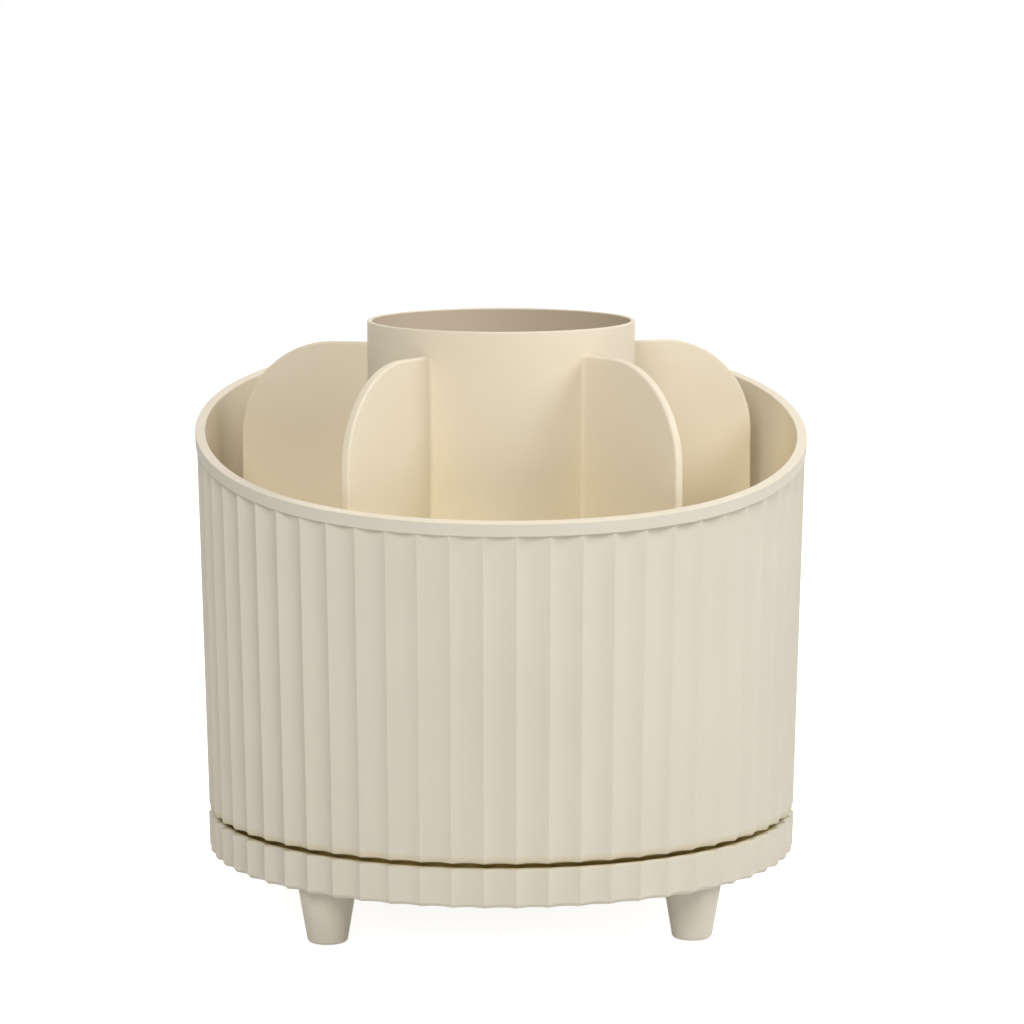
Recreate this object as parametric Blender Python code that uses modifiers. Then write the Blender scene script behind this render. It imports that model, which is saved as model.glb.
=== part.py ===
"""A rotating makeup brush holder, modelled as its separate mouldings and fittings.

A fluted drum with a slanted rim turns on a footed base, over a ring of steel balls. A lift-out
insert, a brush cup with five dividers, stands in the drum.

Units are metres and +Z is up. The front, where the rim is lowest, faces -Y. The origin is on
the turning axis, on the surface that the four pads stand on.
"""

from math import cos, pi, radians, sin, tan

import bmesh
import bpy
from mathutils import Matrix

# Fits
SEAT_GAP = 0.0003  # between two pieces that touch
RUN_GAP = 0.0002  # radial running clearance of the pivot
OVERRUN = 0.0020  # how far a cutter runs past what it cuts
LAP = 0.0010  # how deep joined shapes run into each other
MERGE_DISTANCE = 0.00001  # points closer than this are one

# Fluted outline, shared by the drum and the base tray, measured at the tray's bottom edge
ARRIS_RADIUS = 0.0868
WALL_DRAFT = radians(1.42)
FLUTE_COUNT = 60
FLUTE_DEPTH = 0.0010
FLUTE_STEPS = 4
ROUND_SEGMENTS = 80
TURNED_STEPS = 40
SMALL_STEPS = 20

# Feet and pads
FOOT_COUNT = 4
FOOT_INSET = 0.0125  # from the arrises to the middle of a foot
FOOT_DROP = 0.0166
FOOT_TOP_RADIUS = 0.0085
FOOT_BOTTOM_RADIUS = 0.0057
FOOT_EDGE = 0.0017
FOOT_SEAT_DEPTH = 0.0010
FOOT_STEPS = 16
PAD_RADIUS = 0.0034
PAD_THICKNESS = 0.0014
PAD_SHOW = 0.0004

# Base tray
TRAY_HEIGHT = 0.0113
TRAY_PROUD = 0.0002
TRAY_WALL = 0.0028
TRAY_LIP = 0.0005
TRAY_FLOOR = 0.0030
TRAY_EDGE = 0.0006
TRAY_RECESS_INSET = 0.0348  # from the arrises to the recess below
TRAY_RECESS = 0.0015
TRAY_RIB_COUNT = 8
TRAY_RIB_WIDTH = 0.0016
TRAY_RIB_DEPTH = 0.0012
SHIELD_GAP = 0.0020  # between the drum's wall and the ring that hides the bearing
SHIELD_WALL = 0.0016
SHIELD_RISE = 0.0003  # how far the ring stands up past the drum's bottom edge
POST_RADIUS = 0.0060
POST_FLARE = 0.0030

# Ball bearing between the tray and the drum
BALL_COUNT = 12
BALL_RADIUS = 0.0030
BALL_INSET = 0.0258  # from the arrises to the ring of balls
BALL_SEGMENTS = 10
BALL_RINGS = 6
TRACK_WIDTH = 0.0100
TRACK_HEIGHT = 0.0015
GROOVE_DEPTH = 0.0010
CAGE_WIDTH = 0.0110
CAGE_THICKNESS = 0.0020
POCKET_STEPS = 12

# Drum
DRUM_GAP = 0.0013
DRUM_FRONT_HEIGHT = 0.0967
DRUM_BACK_HEIGHT = 0.1297
RIM_EASE = 0.0010
DRUM_WALL = 0.0026
DRUM_SKIRT = 0.0008
DRUM_FLOOR = 0.0022
DRUM_BOTTOM_EDGE = 0.0014
DRUM_INNER_FILLET = 0.0025
BAND_HEIGHT = 0.0037
BAND_PROUD = 0.0004
BAND_EDGE = 0.0006
HUB_WALL = 0.0040
HUB_DROP = 0.0060
LOCATING_WALL = 0.0018
LOCATING_HEIGHT = 0.0040
LOCATING_GAP = 0.0004
GUIDE_LENGTH = 0.0080
GUIDE_WIDTH = 0.0014
GUIDE_HEIGHT = 0.0030

# Lift-out insert
INSERT_HEIGHT = 0.1417
CUP_RADIUS = 0.0395
CUP_WALL = 0.0028
CUP_EDGE = 0.0008
CUP_DRAFT = radians(0.35)
CUP_FLOOR_HEIGHT = 0.0085
CUP_FLOOR = 0.0025
PANEL_COUNT = 5
PANEL_INSET = 0.0065  # from the arrises to a divider's outer edge
PANEL_HEIGHT = 0.1341
PANEL_THICKNESS = 0.0028
PANEL_FLAT = 0.0131  # a divider's level top, from the cup to its round corner
PANEL_TOE = 0.0040
PANEL_ARC_STEPS = 8

# Pivot fittings and screws
BUSH_WALL = 0.0018
BUSH_FLANGE_WIDTH = 0.0030
BUSH_FLANGE = 0.0012
AXIAL_PLAY = 0.0003
WASHER_RADIUS = 0.0098
WASHER_THICKNESS = 0.0010
PIVOT_SCREW_RADIUS = 0.0019
PIVOT_SCREW_LENGTH = 0.0120
PIVOT_HEAD_RADIUS = 0.0040
PIVOT_HEAD_HEIGHT = 0.0024
FOOT_SCREW_RADIUS = 0.0014
FOOT_SCREW_LENGTH = 0.0100
FOOT_HEAD_RADIUS = 0.0032
FOOT_HEAD_HEIGHT = 0.0018
SCREW_TIP_GAP = 0.0008
SCREW_STEPS = 10

# Heights that follow from the sizes above
FOOT_BOTTOM = PAD_SHOW
TRAY_BOTTOM = FOOT_BOTTOM + FOOT_DROP
TRAY_TOP = TRAY_BOTTOM + TRAY_HEIGHT
TRAY_UNDER = TRAY_BOTTOM + TRAY_LIP
TRAY_FLOOR_TOP = TRAY_UNDER + TRAY_FLOOR
LOWER_TRACK_TOP = TRAY_FLOOR_TOP + TRACK_HEIGHT
BALL_HEIGHT = LOWER_TRACK_TOP - GROOVE_DEPTH + SEAT_GAP + BALL_RADIUS
UPPER_TRACK_BOTTOM = BALL_HEIGHT + BALL_RADIUS + SEAT_GAP - GROOVE_DEPTH
DRUM_BOTTOM = TRAY_TOP + DRUM_GAP
DRUM_UNDER = DRUM_BOTTOM + DRUM_SKIRT
DRUM_FLOOR_TOP = DRUM_UNDER + DRUM_FLOOR
INSERT_BOTTOM = DRUM_FLOOR_TOP + SEAT_GAP
BUSH_FLANGE_BOTTOM = DRUM_FLOOR_TOP + SEAT_GAP
BUSH_TOP = BUSH_FLANGE_BOTTOM + BUSH_FLANGE
POST_TOP = BUSH_TOP + AXIAL_PLAY
WASHER_BOTTOM = POST_TOP + SEAT_GAP
PIVOT_HEAD_BOTTOM = WASHER_BOTTOM + WASHER_THICKNESS + SEAT_GAP
FOOT_TOP = TRAY_UNDER + FOOT_SEAT_DEPTH - SEAT_GAP
FOOT_HEAD_BOTTOM = TRAY_FLOOR_TOP + SEAT_GAP

# Radii that follow
FOOT_CIRCLE = ARRIS_RADIUS - FOOT_INSET
TRAY_RECESS_RADIUS = ARRIS_RADIUS - TRAY_RECESS_INSET
BALL_CIRCLE = ARRIS_RADIUS - BALL_INSET
PANEL_REACH = ARRIS_RADIUS - PANEL_INSET
BUSH_BORE = POST_RADIUS + RUN_GAP
BUSH_RADIUS = BUSH_BORE + BUSH_WALL
HUB_BORE = BUSH_RADIUS + SEAT_GAP
CUP_BOTTOM_RADIUS = CUP_RADIUS - INSERT_HEIGHT * tan(CUP_DRAFT)
PANEL_CORNER = PANEL_REACH - CUP_BOTTOM_RADIUS - PANEL_FLAT
LOCATING_RADIUS = CUP_BOTTOM_RADIUS - CUP_WALL - LOCATING_GAP
PIVOT_HOLE = PIVOT_SCREW_RADIUS + SEAT_GAP
FOOT_HOLE = FOOT_SCREW_RADIUS + SEAT_GAP

FULL_TURN = 2 * pi
# How far a 45 degree point of a rounded edge stays off each side, as a share of its radius
ROUND_MID_SHARE = 1 - cos(pi / 4)

# Finishes: linear colour, roughness, metallic
CREAM = ((0.686, 0.635, 0.521), 0.42, 0.0)
CREAM_LIGHT = ((0.730, 0.675, 0.550), 0.40, 0.0)
ACETAL = ((0.78, 0.78, 0.76), 0.35, 0.0)
STEEL = ((0.62, 0.62, 0.63), 0.25, 1.0)
RUBBER = ((0.42, 0.40, 0.36), 0.80, 0.0)


# Scene and object helpers


def clear_scene():
    for obj in list(bpy.data.objects):
        bpy.data.objects.remove(obj, do_unlink=True)
    for collection in list(bpy.data.collections):
        bpy.data.collections.remove(collection)


def new_collection(name):
    collection = bpy.data.collections.new(name)
    bpy.context.scene.collection.children.link(collection)
    return collection


def finish(name, recipe):
    colour, roughness, metallic = recipe
    material = bpy.data.materials.new(name + "_finish")
    material.use_nodes = True
    shader = material.node_tree.nodes["Principled BSDF"]
    shader.inputs["Base Color"].default_value = (*colour, 1)
    shader.inputs["Roughness"].default_value = roughness
    shader.inputs["Metallic"].default_value = metallic
    material.diffuse_color = (*colour, 1)
    return material


def place(name, mesh, recipe, location=(0, 0, 0)):
    """Adds a part's object with its own finish, shaded smooth between sharp edges."""
    obj = bpy.data.objects.new(name, mesh)
    parts.objects.link(obj)
    obj.location = location
    obj.color = (*recipe[0], 1)
    mesh.materials.clear()
    mesh.materials.append(finish(name, recipe))
    mesh.shade_smooth()
    mesh.set_sharp_from_angle(angle=radians(35))
    return obj


def helper(name, mesh, location=(0, 0, 0)):
    """Adds a shape that only cuts or joins another."""
    obj = bpy.data.objects.new(name, mesh)
    cutters.objects.link(obj)
    obj.location = location
    obj.hide_render = True
    obj.display_type = "WIRE"
    return obj


def combine(target, other, operation):
    modifier = target.modifiers.new(operation.lower() + "_" + other.name, "BOOLEAN")
    modifier.operation = operation
    modifier.solver = "EXACT"
    modifier.object = other


def around(count, start=0.0):
    """The azimuths of evenly spaced pieces, from the front and turning towards +X."""
    return [start + FULL_TURN * number / count for number in range(count)]


def on_circle(radius, azimuth, height):
    return (radius * sin(azimuth), -radius * cos(azimuth), height)


# Shape helpers


def turned_mesh(name, profile, steps, ring=False):
    """The mesh of a Screw modifier on a profile of (radius, height), outer side top to bottom."""
    bm = bmesh.new()
    points = [bm.verts.new((radius, 0, height)) for radius, height in profile]
    for first, second in zip(points, points[1:]):
        bm.edges.new((first, second))
    if ring:
        bm.edges.new((points[-1], points[0]))
    outline = bpy.data.meshes.new(name + "_profile")
    bm.to_mesh(outline)
    bm.free()
    carrier = bpy.data.objects.new(name + "_profile", outline)
    cutters.objects.link(carrier)
    screw = carrier.modifiers.new("turn", "SCREW")
    screw.steps = steps
    screw.render_steps = steps
    screw.use_merge_vertices = True
    screw.merge_threshold = MERGE_DISTANCE
    screw.use_smooth_shade = False
    bpy.context.view_layer.update()
    graph = bpy.context.evaluated_depsgraph_get()
    mesh = bpy.data.meshes.new_from_object(carrier.evaluated_get(graph))
    mesh.name = name
    bpy.data.objects.remove(carrier, do_unlink=True)
    bpy.data.meshes.remove(outline)
    return mesh


def arc(centre_radius, centre_height, radius, start, end, steps):
    """Points of an arc in the (radius, height) plane, with angles from +radius to +height."""
    angles = [radians(start + (end - start) * step / steps) for step in range(steps + 1)]
    return [
        (centre_radius + radius * cos(angle), centre_height + radius * sin(angle))
        for angle in angles
    ]


def groove_arc(height, direction, steps=3):
    """The track's groove, across the ball circle: direction is -1 cut down, 1 cut up."""
    cut = BALL_RADIUS + SEAT_GAP
    centre = height - direction * (cut - GROOVE_DEPTH)
    half = (cut**2 - (cut - GROOVE_DEPTH) ** 2) ** 0.5
    offsets = [half * (1 - 2 * step / steps) for step in range(steps + 1)]
    return [
        (BALL_CIRCLE + offset, centre + direction * (cut**2 - offset**2) ** 0.5)
        for offset in offsets
    ]


def ring_points(count, radius_at, height_at):
    """One closed ring of a loft, from a radius and a height that follow the azimuth."""
    return [on_circle(radius_at(a), a, height_at(a)) for a in around(count)]


def bridge(bm, lower, upper):
    """Faces between two rings. One ring may have a whole multiple of the other's points."""
    if len(lower) == len(upper):
        for here in range(len(lower)):
            after = (here + 1) % len(lower)
            bm.faces.new((lower[here], lower[after], upper[after], upper[here]))
        return
    flipped = len(lower) < len(upper)
    fine, coarse = (upper, lower) if flipped else (lower, upper)
    ratio = len(fine) // len(coarse)
    for here in range(len(coarse)):
        after = (here + 1) % len(coarse)
        for step in range(ratio):
            first = fine[here * ratio + step]
            second = fine[(here * ratio + step + 1) % len(fine)]
            tip = coarse[here] if step < ratio / 2 else coarse[after]
            corners = (first, second, tip)
            bm.faces.new(corners[::-1] if flipped else corners)
        middle = fine[here * ratio + (ratio + 1) // 2]
        corners = (middle, coarse[after], coarse[here])
        bm.faces.new(corners[::-1] if flipped else corners)


def lofted_mesh(name, rings):
    """A closed band of faces through rings that run up the outside and down the inside."""
    bm = bmesh.new()
    made = [[bm.verts.new(point) for point in ring] for ring in rings]
    for lower, upper in zip(made, made[1:] + made[:1]):
        bridge(bm, lower, upper)
    bmesh.ops.recalc_face_normals(bm, faces=bm.faces)
    mesh = bpy.data.meshes.new(name)
    bm.to_mesh(mesh)
    bm.free()
    return mesh


def boxes_mesh(name, boxes):
    """One mesh of separate boxes, each given by centre, size and azimuth about the axis."""
    bm = bmesh.new()
    for radius, side, height, size, azimuth in boxes:
        made = bmesh.ops.create_cube(bm, size=1)["verts"]
        bmesh.ops.scale(bm, vec=size, verts=made)
        bmesh.ops.translate(bm, vec=(side, -radius, height), verts=made)
        turn = Matrix.Rotation(azimuth, 3, "Z")
        bmesh.ops.rotate(bm, cent=(0, 0, 0), matrix=turn, verts=made)
    mesh = bpy.data.meshes.new(name)
    bm.to_mesh(mesh)
    bm.free()
    return mesh


def cylinders_mesh(name, radius, low, high, circle, count, start, steps):
    """One mesh of upright cylinders on a circle."""
    bm = bmesh.new()
    for azimuth in around(count, start):
        made = bmesh.ops.create_cone(
            bm, cap_ends=True, segments=steps, radius1=radius, radius2=radius, depth=high - low
        )["verts"]
        bmesh.ops.translate(bm, vec=on_circle(circle, azimuth, (low + high) / 2), verts=made)
    mesh = bpy.data.meshes.new(name)
    bm.to_mesh(mesh)
    bm.free()
    return mesh


# The fluted wall


def arris_radius(height):
    return ARRIS_RADIUS + (height - TRAY_BOTTOM) * tan(WALL_DRAFT)


def flute_cut(azimuth):
    """How deep the concave flute is at this azimuth. An arris stands at the front."""
    across = (azimuth * FLUTE_COUNT / FULL_TURN) % 1
    return FLUTE_DEPTH * (1 - (2 * across - 1) ** 2)


def rim_height(azimuth):
    """The slanted rim: low at the front, high at the back, level for a stretch at each."""
    middle = DRUM_BOTTOM + (DRUM_FRONT_HEIGHT + DRUM_BACK_HEIGHT) / 2
    rise = (DRUM_BACK_HEIGHT - DRUM_FRONT_HEIGHT) / 2 + RIM_EASE
    return middle - rise * cos(azimuth) + RIM_EASE * cos(3 * azimuth)


def fluted_ring(height_at, inset=0.0):
    count = FLUTE_COUNT * FLUTE_STEPS
    return ring_points(
        count, lambda a: arris_radius(height_at(a)) - flute_cut(a) - inset, height_at
    )


def plain_ring(height_at, offset):
    return ring_points(ROUND_SEGMENTS, lambda a: arris_radius(height_at(a)) + offset, height_at)


# Drum


def drum_wall_mesh():
    """The wall: fluted outside, with a plain band under a slanted, softly rounded rim."""
    edge_mid = BAND_EDGE * ROUND_MID_SHARE

    def below_rim(drop):
        return lambda azimuth: rim_height(azimuth) - drop

    rings = [
        plain_ring(lambda a: DRUM_BOTTOM, -DRUM_WALL),
        fluted_ring(lambda a: DRUM_BOTTOM, DRUM_BOTTOM_EDGE),
        fluted_ring(lambda a: DRUM_BOTTOM + DRUM_BOTTOM_EDGE),
        fluted_ring(below_rim(BAND_HEIGHT)),
        plain_ring(below_rim(BAND_HEIGHT), BAND_PROUD),
        plain_ring(below_rim(BAND_EDGE), BAND_PROUD),
        plain_ring(below_rim(edge_mid), BAND_PROUD - edge_mid),
        plain_ring(below_rim(0), BAND_PROUD - BAND_EDGE),
        plain_ring(below_rim(0), BAND_EDGE - DRUM_WALL),
        plain_ring(below_rim(BAND_EDGE), -DRUM_WALL),
    ]
    return lofted_mesh("drum", rings)


def drum_floor_mesh():
    """The floor with its inner fillet, locating ring, hub and ball track, all turned."""
    wall = arris_radius(DRUM_FLOOR_TOP) - DRUM_WALL
    inner = wall - DRUM_INNER_FILLET
    fillet_top = DRUM_FLOOR_TOP + DRUM_INNER_FILLET
    ring_top = DRUM_FLOOR_TOP + LOCATING_HEIGHT
    hub_bottom = DRUM_UNDER - HUB_DROP
    hub_radius = HUB_BORE + HUB_WALL
    track_in = BALL_CIRCLE - TRACK_WIDTH / 2
    track_out = BALL_CIRCLE + TRACK_WIDTH / 2
    profile = [(wall + LAP, fillet_top), (wall + LAP, DRUM_UNDER)]
    profile += [(track_out, DRUM_UNDER), (track_out, UPPER_TRACK_BOTTOM)]
    profile += groove_arc(UPPER_TRACK_BOTTOM, 1)
    profile += [(track_in, UPPER_TRACK_BOTTOM), (track_in, DRUM_UNDER)]
    profile += [(hub_radius, DRUM_UNDER), (hub_radius, hub_bottom)]
    profile += [(HUB_BORE, hub_bottom), (HUB_BORE, DRUM_FLOOR_TOP)]
    profile += [(LOCATING_RADIUS - LOCATING_WALL, DRUM_FLOOR_TOP)]
    profile += [(LOCATING_RADIUS - LOCATING_WALL, ring_top), (LOCATING_RADIUS, ring_top)]
    profile += [(LOCATING_RADIUS, DRUM_FLOOR_TOP)]
    profile += arc(inner, fillet_top, DRUM_INNER_FILLET, -90, 0, 3)
    return turned_mesh("drum_floor", profile, TURNED_STEPS, ring=True)


def guide_ribs_mesh():
    """Pairs of low ribs on the drum's floor, which the dividers' toes stand between."""
    length_centre = PANEL_REACH - PANEL_TOE - GUIDE_LENGTH / 2
    side = PANEL_THICKNESS / 2 + LOCATING_GAP + GUIDE_WIDTH / 2
    height = DRUM_FLOOR_TOP + (GUIDE_HEIGHT - LAP) / 2
    size = (GUIDE_WIDTH, GUIDE_LENGTH, GUIDE_HEIGHT + LAP)
    boxes = [
        (length_centre, direction * side, height, size, azimuth)
        for azimuth in around(PANEL_COUNT, FULL_TURN / PANEL_COUNT / 2)
        for direction in (-1, 1)
    ]
    return boxes_mesh("guide_ribs", boxes)


def make_drum():
    drum = place("drum", drum_wall_mesh(), CREAM)
    combine(drum, helper("drum_floor", drum_floor_mesh()), "UNION")
    combine(drum, helper("guide_ribs", guide_ribs_mesh()), "UNION")


# Lift-out insert


def cup_mesh():
    """The brush cup: a slightly tapered tube with a floor above the pivot screw."""
    top = INSERT_BOTTOM + INSERT_HEIGHT
    floor = INSERT_BOTTOM + CUP_FLOOR_HEIGHT
    floor_top = floor + CUP_FLOOR

    def outer(height):
        return CUP_RADIUS - (top - height) * tan(CUP_DRAFT)

    def inner(height):
        return outer(height) - CUP_WALL

    profile = [(0, floor_top), (inner(floor_top) - CUP_EDGE, floor_top)]
    profile += [(inner(floor_top), floor_top + CUP_EDGE)]
    profile += [(inner(top), top - CUP_EDGE), (inner(top) + CUP_EDGE, top)]
    profile += [(outer(top) - CUP_EDGE, top), (outer(top), top - CUP_EDGE)]
    profile += [(outer(INSERT_BOTTOM), INSERT_BOTTOM), (inner(INSERT_BOTTOM), INSERT_BOTTOM)]
    profile += [(inner(floor), floor), (0, floor)]
    return turned_mesh("divider_insert", profile, TURNED_STEPS)


def panel_mesh():
    """One divider: an upright plate with a big round top corner and a small round toe."""
    root = CUP_BOTTOM_RADIUS - CUP_WALL / 2
    top = INSERT_BOTTOM + PANEL_HEIGHT
    outline = [(root, INSERT_BOTTOM)]
    outline += arc(
        PANEL_REACH - PANEL_TOE, INSERT_BOTTOM + PANEL_TOE, PANEL_TOE, -90, 0, PANEL_ARC_STEPS // 2
    )
    outline += arc(
        PANEL_REACH - PANEL_CORNER, top - PANEL_CORNER, PANEL_CORNER, 0, 90, PANEL_ARC_STEPS
    )
    outline += [(root, top)]
    curve = bpy.data.curves.new("divider", "CURVE")
    curve.dimensions = "2D"
    curve.fill_mode = "BOTH"
    curve.extrude = PANEL_THICKNESS / 2
    spline = curve.splines.new("POLY")
    spline.points.add(len(outline) - 1)
    for point, (radius, height) in zip(spline.points, outline):
        point.co = (radius, height, 0, 1)
    spline.use_cyclic_u = True
    carrier = bpy.data.objects.new("divider", curve)
    cutters.objects.link(carrier)
    bpy.context.view_layer.update()
    graph = bpy.context.evaluated_depsgraph_get()
    mesh = bpy.data.meshes.new_from_object(carrier.evaluated_get(graph))
    bpy.data.objects.remove(carrier, do_unlink=True)
    bpy.data.curves.remove(curve)
    return mesh


def panels_mesh():
    """All the dividers, stood up and spread evenly either side of the front."""
    single = panel_mesh()
    bm = bmesh.new()
    for azimuth in around(PANEL_COUNT, FULL_TURN / PANEL_COUNT / 2):
        before = set(bm.verts)
        bm.from_mesh(single)
        made = [vert for vert in bm.verts if vert not in before]
        upright = Matrix.Rotation(pi / 2, 3, "X")
        outward = Matrix.Rotation(azimuth - pi / 2, 3, "Z")
        bmesh.ops.rotate(bm, cent=(0, 0, 0), matrix=outward @ upright, verts=made)
    bmesh.ops.remove_doubles(bm, verts=bm.verts, dist=MERGE_DISTANCE)
    bmesh.ops.recalc_face_normals(bm, faces=bm.faces)
    mesh = bpy.data.meshes.new("dividers")
    bm.to_mesh(mesh)
    bm.free()
    bpy.data.meshes.remove(single)
    return mesh


def make_insert():
    insert = place("divider_insert", cup_mesh(), CREAM_LIGHT)
    combine(insert, helper("dividers", panels_mesh()), "UNION")


# Base tray


def tray_wall_mesh():
    """The low fluted wall, whose flutes carry on the drum's."""
    rings = [
        plain_ring(lambda a: TRAY_BOTTOM, -TRAY_WALL),
        fluted_ring(lambda a: TRAY_BOTTOM, TRAY_EDGE - TRAY_PROUD),
        fluted_ring(lambda a: TRAY_BOTTOM + TRAY_EDGE, -TRAY_PROUD),
        fluted_ring(lambda a: TRAY_TOP - TRAY_EDGE, -TRAY_PROUD),
        fluted_ring(lambda a: TRAY_TOP, TRAY_EDGE - TRAY_PROUD),
        plain_ring(lambda a: TRAY_TOP, -TRAY_WALL),
    ]
    return lofted_mesh("base_tray", rings)


def tray_floor_mesh():
    """The tray's floor with its shield ring, ball track and bored pivot post."""
    wall = arris_radius(TRAY_FLOOR_TOP) - TRAY_WALL
    shield = arris_radius(DRUM_BOTTOM) - DRUM_WALL - SHIELD_GAP
    shield_top = DRUM_BOTTOM + SHIELD_RISE
    track_in = BALL_CIRCLE - TRACK_WIDTH / 2
    track_out = BALL_CIRCLE + TRACK_WIDTH / 2
    recess = TRAY_UNDER + TRAY_RECESS
    bore_bottom = PIVOT_HEAD_BOTTOM - PIVOT_SCREW_LENGTH - SCREW_TIP_GAP
    profile = [(0, bore_bottom), (PIVOT_HOLE, bore_bottom), (PIVOT_HOLE, POST_TOP)]
    profile += [(POST_RADIUS, POST_TOP), (POST_RADIUS, TRAY_FLOOR_TOP + POST_FLARE)]
    profile += [(POST_RADIUS + POST_FLARE, TRAY_FLOOR_TOP), (track_in, TRAY_FLOOR_TOP)]
    profile += [(track_in, LOWER_TRACK_TOP)]
    profile += groove_arc(LOWER_TRACK_TOP, -1)[::-1]
    profile += [(track_out, LOWER_TRACK_TOP), (track_out, TRAY_FLOOR_TOP)]
    profile += [(shield - SHIELD_WALL, TRAY_FLOOR_TOP), (shield - SHIELD_WALL, shield_top)]
    profile += [(shield, shield_top), (shield, TRAY_FLOOR_TOP)]
    profile += [(wall + LAP, TRAY_FLOOR_TOP), (wall + LAP, TRAY_UNDER)]
    profile += [(TRAY_RECESS_RADIUS, TRAY_UNDER), (TRAY_RECESS_RADIUS, recess), (0, recess)]
    return turned_mesh("tray_floor", profile, TURNED_STEPS)


def tray_ribs_mesh():
    """Radial ribs under the tray's recessed middle."""
    root = POST_RADIUS + POST_FLARE
    length = TRAY_RECESS_RADIUS + LAP - root
    under = TRAY_UNDER + TRAY_RECESS
    size = (TRAY_RIB_WIDTH, length, TRAY_RIB_DEPTH + LAP)
    height = under + (LAP - TRAY_RIB_DEPTH) / 2
    boxes = [(root + length / 2, 0, height, size, azimuth) for azimuth in around(TRAY_RIB_COUNT)]
    return boxes_mesh("tray_ribs", boxes)


def foot_azimuths():
    return around(FOOT_COUNT, FULL_TURN / FOOT_COUNT / 2)


def make_tray():
    tray = place("base_tray", tray_wall_mesh(), CREAM)
    combine(tray, helper("tray_floor", tray_floor_mesh()), "UNION")
    combine(tray, helper("tray_ribs", tray_ribs_mesh()), "UNION")
    spread = FULL_TURN / FOOT_COUNT / 2
    seats = cylinders_mesh(
        "foot_seats",
        FOOT_TOP_RADIUS + SEAT_GAP,
        TRAY_BOTTOM - OVERRUN,
        TRAY_UNDER + FOOT_SEAT_DEPTH,
        FOOT_CIRCLE,
        FOOT_COUNT,
        spread,
        FOOT_STEPS,
    )
    holes = cylinders_mesh(
        "foot_screw_holes",
        FOOT_HOLE,
        TRAY_BOTTOM - OVERRUN,
        TRAY_FLOOR_TOP + OVERRUN,
        FOOT_CIRCLE,
        FOOT_COUNT,
        spread,
        SCREW_STEPS,
    )
    combine(tray, helper("foot_seats", seats), "DIFFERENCE")
    combine(tray, helper("foot_screw_holes", holes), "DIFFERENCE")


# Feet, pads and screws


def foot_mesh():
    """A tapered round foot, rounded at the bottom, with a pad recess and a screw bore."""
    neck = TRAY_BOTTOM
    recess_top = PAD_THICKNESS + SEAT_GAP
    recess_radius = PAD_RADIUS + SEAT_GAP
    bore_bottom = FOOT_HEAD_BOTTOM - FOOT_SCREW_LENGTH - SCREW_TIP_GAP
    mid = FOOT_EDGE * ROUND_MID_SHARE
    profile = [(0, bore_bottom), (FOOT_HOLE, bore_bottom), (FOOT_HOLE, FOOT_TOP)]
    profile += [(FOOT_TOP_RADIUS, FOOT_TOP), (FOOT_TOP_RADIUS, neck)]
    profile += [(FOOT_BOTTOM_RADIUS, FOOT_BOTTOM + FOOT_EDGE)]
    profile += [(FOOT_BOTTOM_RADIUS - mid, FOOT_BOTTOM + mid)]
    profile += [(FOOT_BOTTOM_RADIUS - FOOT_EDGE, FOOT_BOTTOM), (recess_radius, FOOT_BOTTOM)]
    profile += [(recess_radius, recess_top), (0, recess_top)]
    return turned_mesh("foot", profile, FOOT_STEPS)


def screw_mesh(name, radius, length, head_radius, head_height):
    """A pan-head screw, its head's seat at height zero and its shank pointing down."""
    crown = head_height * ROUND_MID_SHARE
    profile = [(0, head_height), (head_radius - crown, head_height)]
    profile += [(head_radius, head_height - crown), (head_radius, 0), (radius, 0)]
    profile += [(radius, radius - length), (0, -length)]
    return turned_mesh(name, profile, SCREW_STEPS)


def make_feet():
    for number, azimuth in enumerate(foot_azimuths(), 1):
        spot = on_circle(FOOT_CIRCLE, azimuth, 0)
        place(f"foot_{number}", foot_mesh(), CREAM, spot)
        pad = turned_mesh(
            "pad",
            [(0, PAD_THICKNESS), (PAD_RADIUS, PAD_THICKNESS), (PAD_RADIUS, 0), (0, 0)],
            FOOT_STEPS,
        )
        place(f"foot_pad_{number}", pad, RUBBER, spot)
        screw = screw_mesh(
            "foot_screw", FOOT_SCREW_RADIUS, FOOT_SCREW_LENGTH, FOOT_HEAD_RADIUS, FOOT_HEAD_HEIGHT
        )
        seat = on_circle(FOOT_CIRCLE, azimuth, FOOT_HEAD_BOTTOM)
        place(f"foot_screw_{number}", screw, STEEL, seat)


# Pivot


def make_pivot():
    hub_bottom = DRUM_UNDER - HUB_DROP
    flange_radius = BUSH_RADIUS + BUSH_FLANGE_WIDTH
    bush = [(flange_radius, BUSH_TOP), (flange_radius, BUSH_FLANGE_BOTTOM)]
    bush += [(BUSH_RADIUS, BUSH_FLANGE_BOTTOM), (BUSH_RADIUS, hub_bottom)]
    bush += [(BUSH_BORE, hub_bottom), (BUSH_BORE, BUSH_TOP)]
    place("pivot_bush", turned_mesh("pivot_bush", bush, SMALL_STEPS, ring=True), ACETAL)
    washer_top = WASHER_BOTTOM + WASHER_THICKNESS
    washer = [(WASHER_RADIUS, washer_top), (WASHER_RADIUS, WASHER_BOTTOM)]
    washer += [(PIVOT_HOLE, WASHER_BOTTOM), (PIVOT_HOLE, washer_top)]
    place("pivot_washer", turned_mesh("pivot_washer", washer, SMALL_STEPS, ring=True), STEEL)
    screw = screw_mesh(
        "pivot_screw", PIVOT_SCREW_RADIUS, PIVOT_SCREW_LENGTH, PIVOT_HEAD_RADIUS, PIVOT_HEAD_HEIGHT
    )
    place("pivot_screw", screw, STEEL, (0, 0, PIVOT_HEAD_BOTTOM))


# Ball bearing


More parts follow.
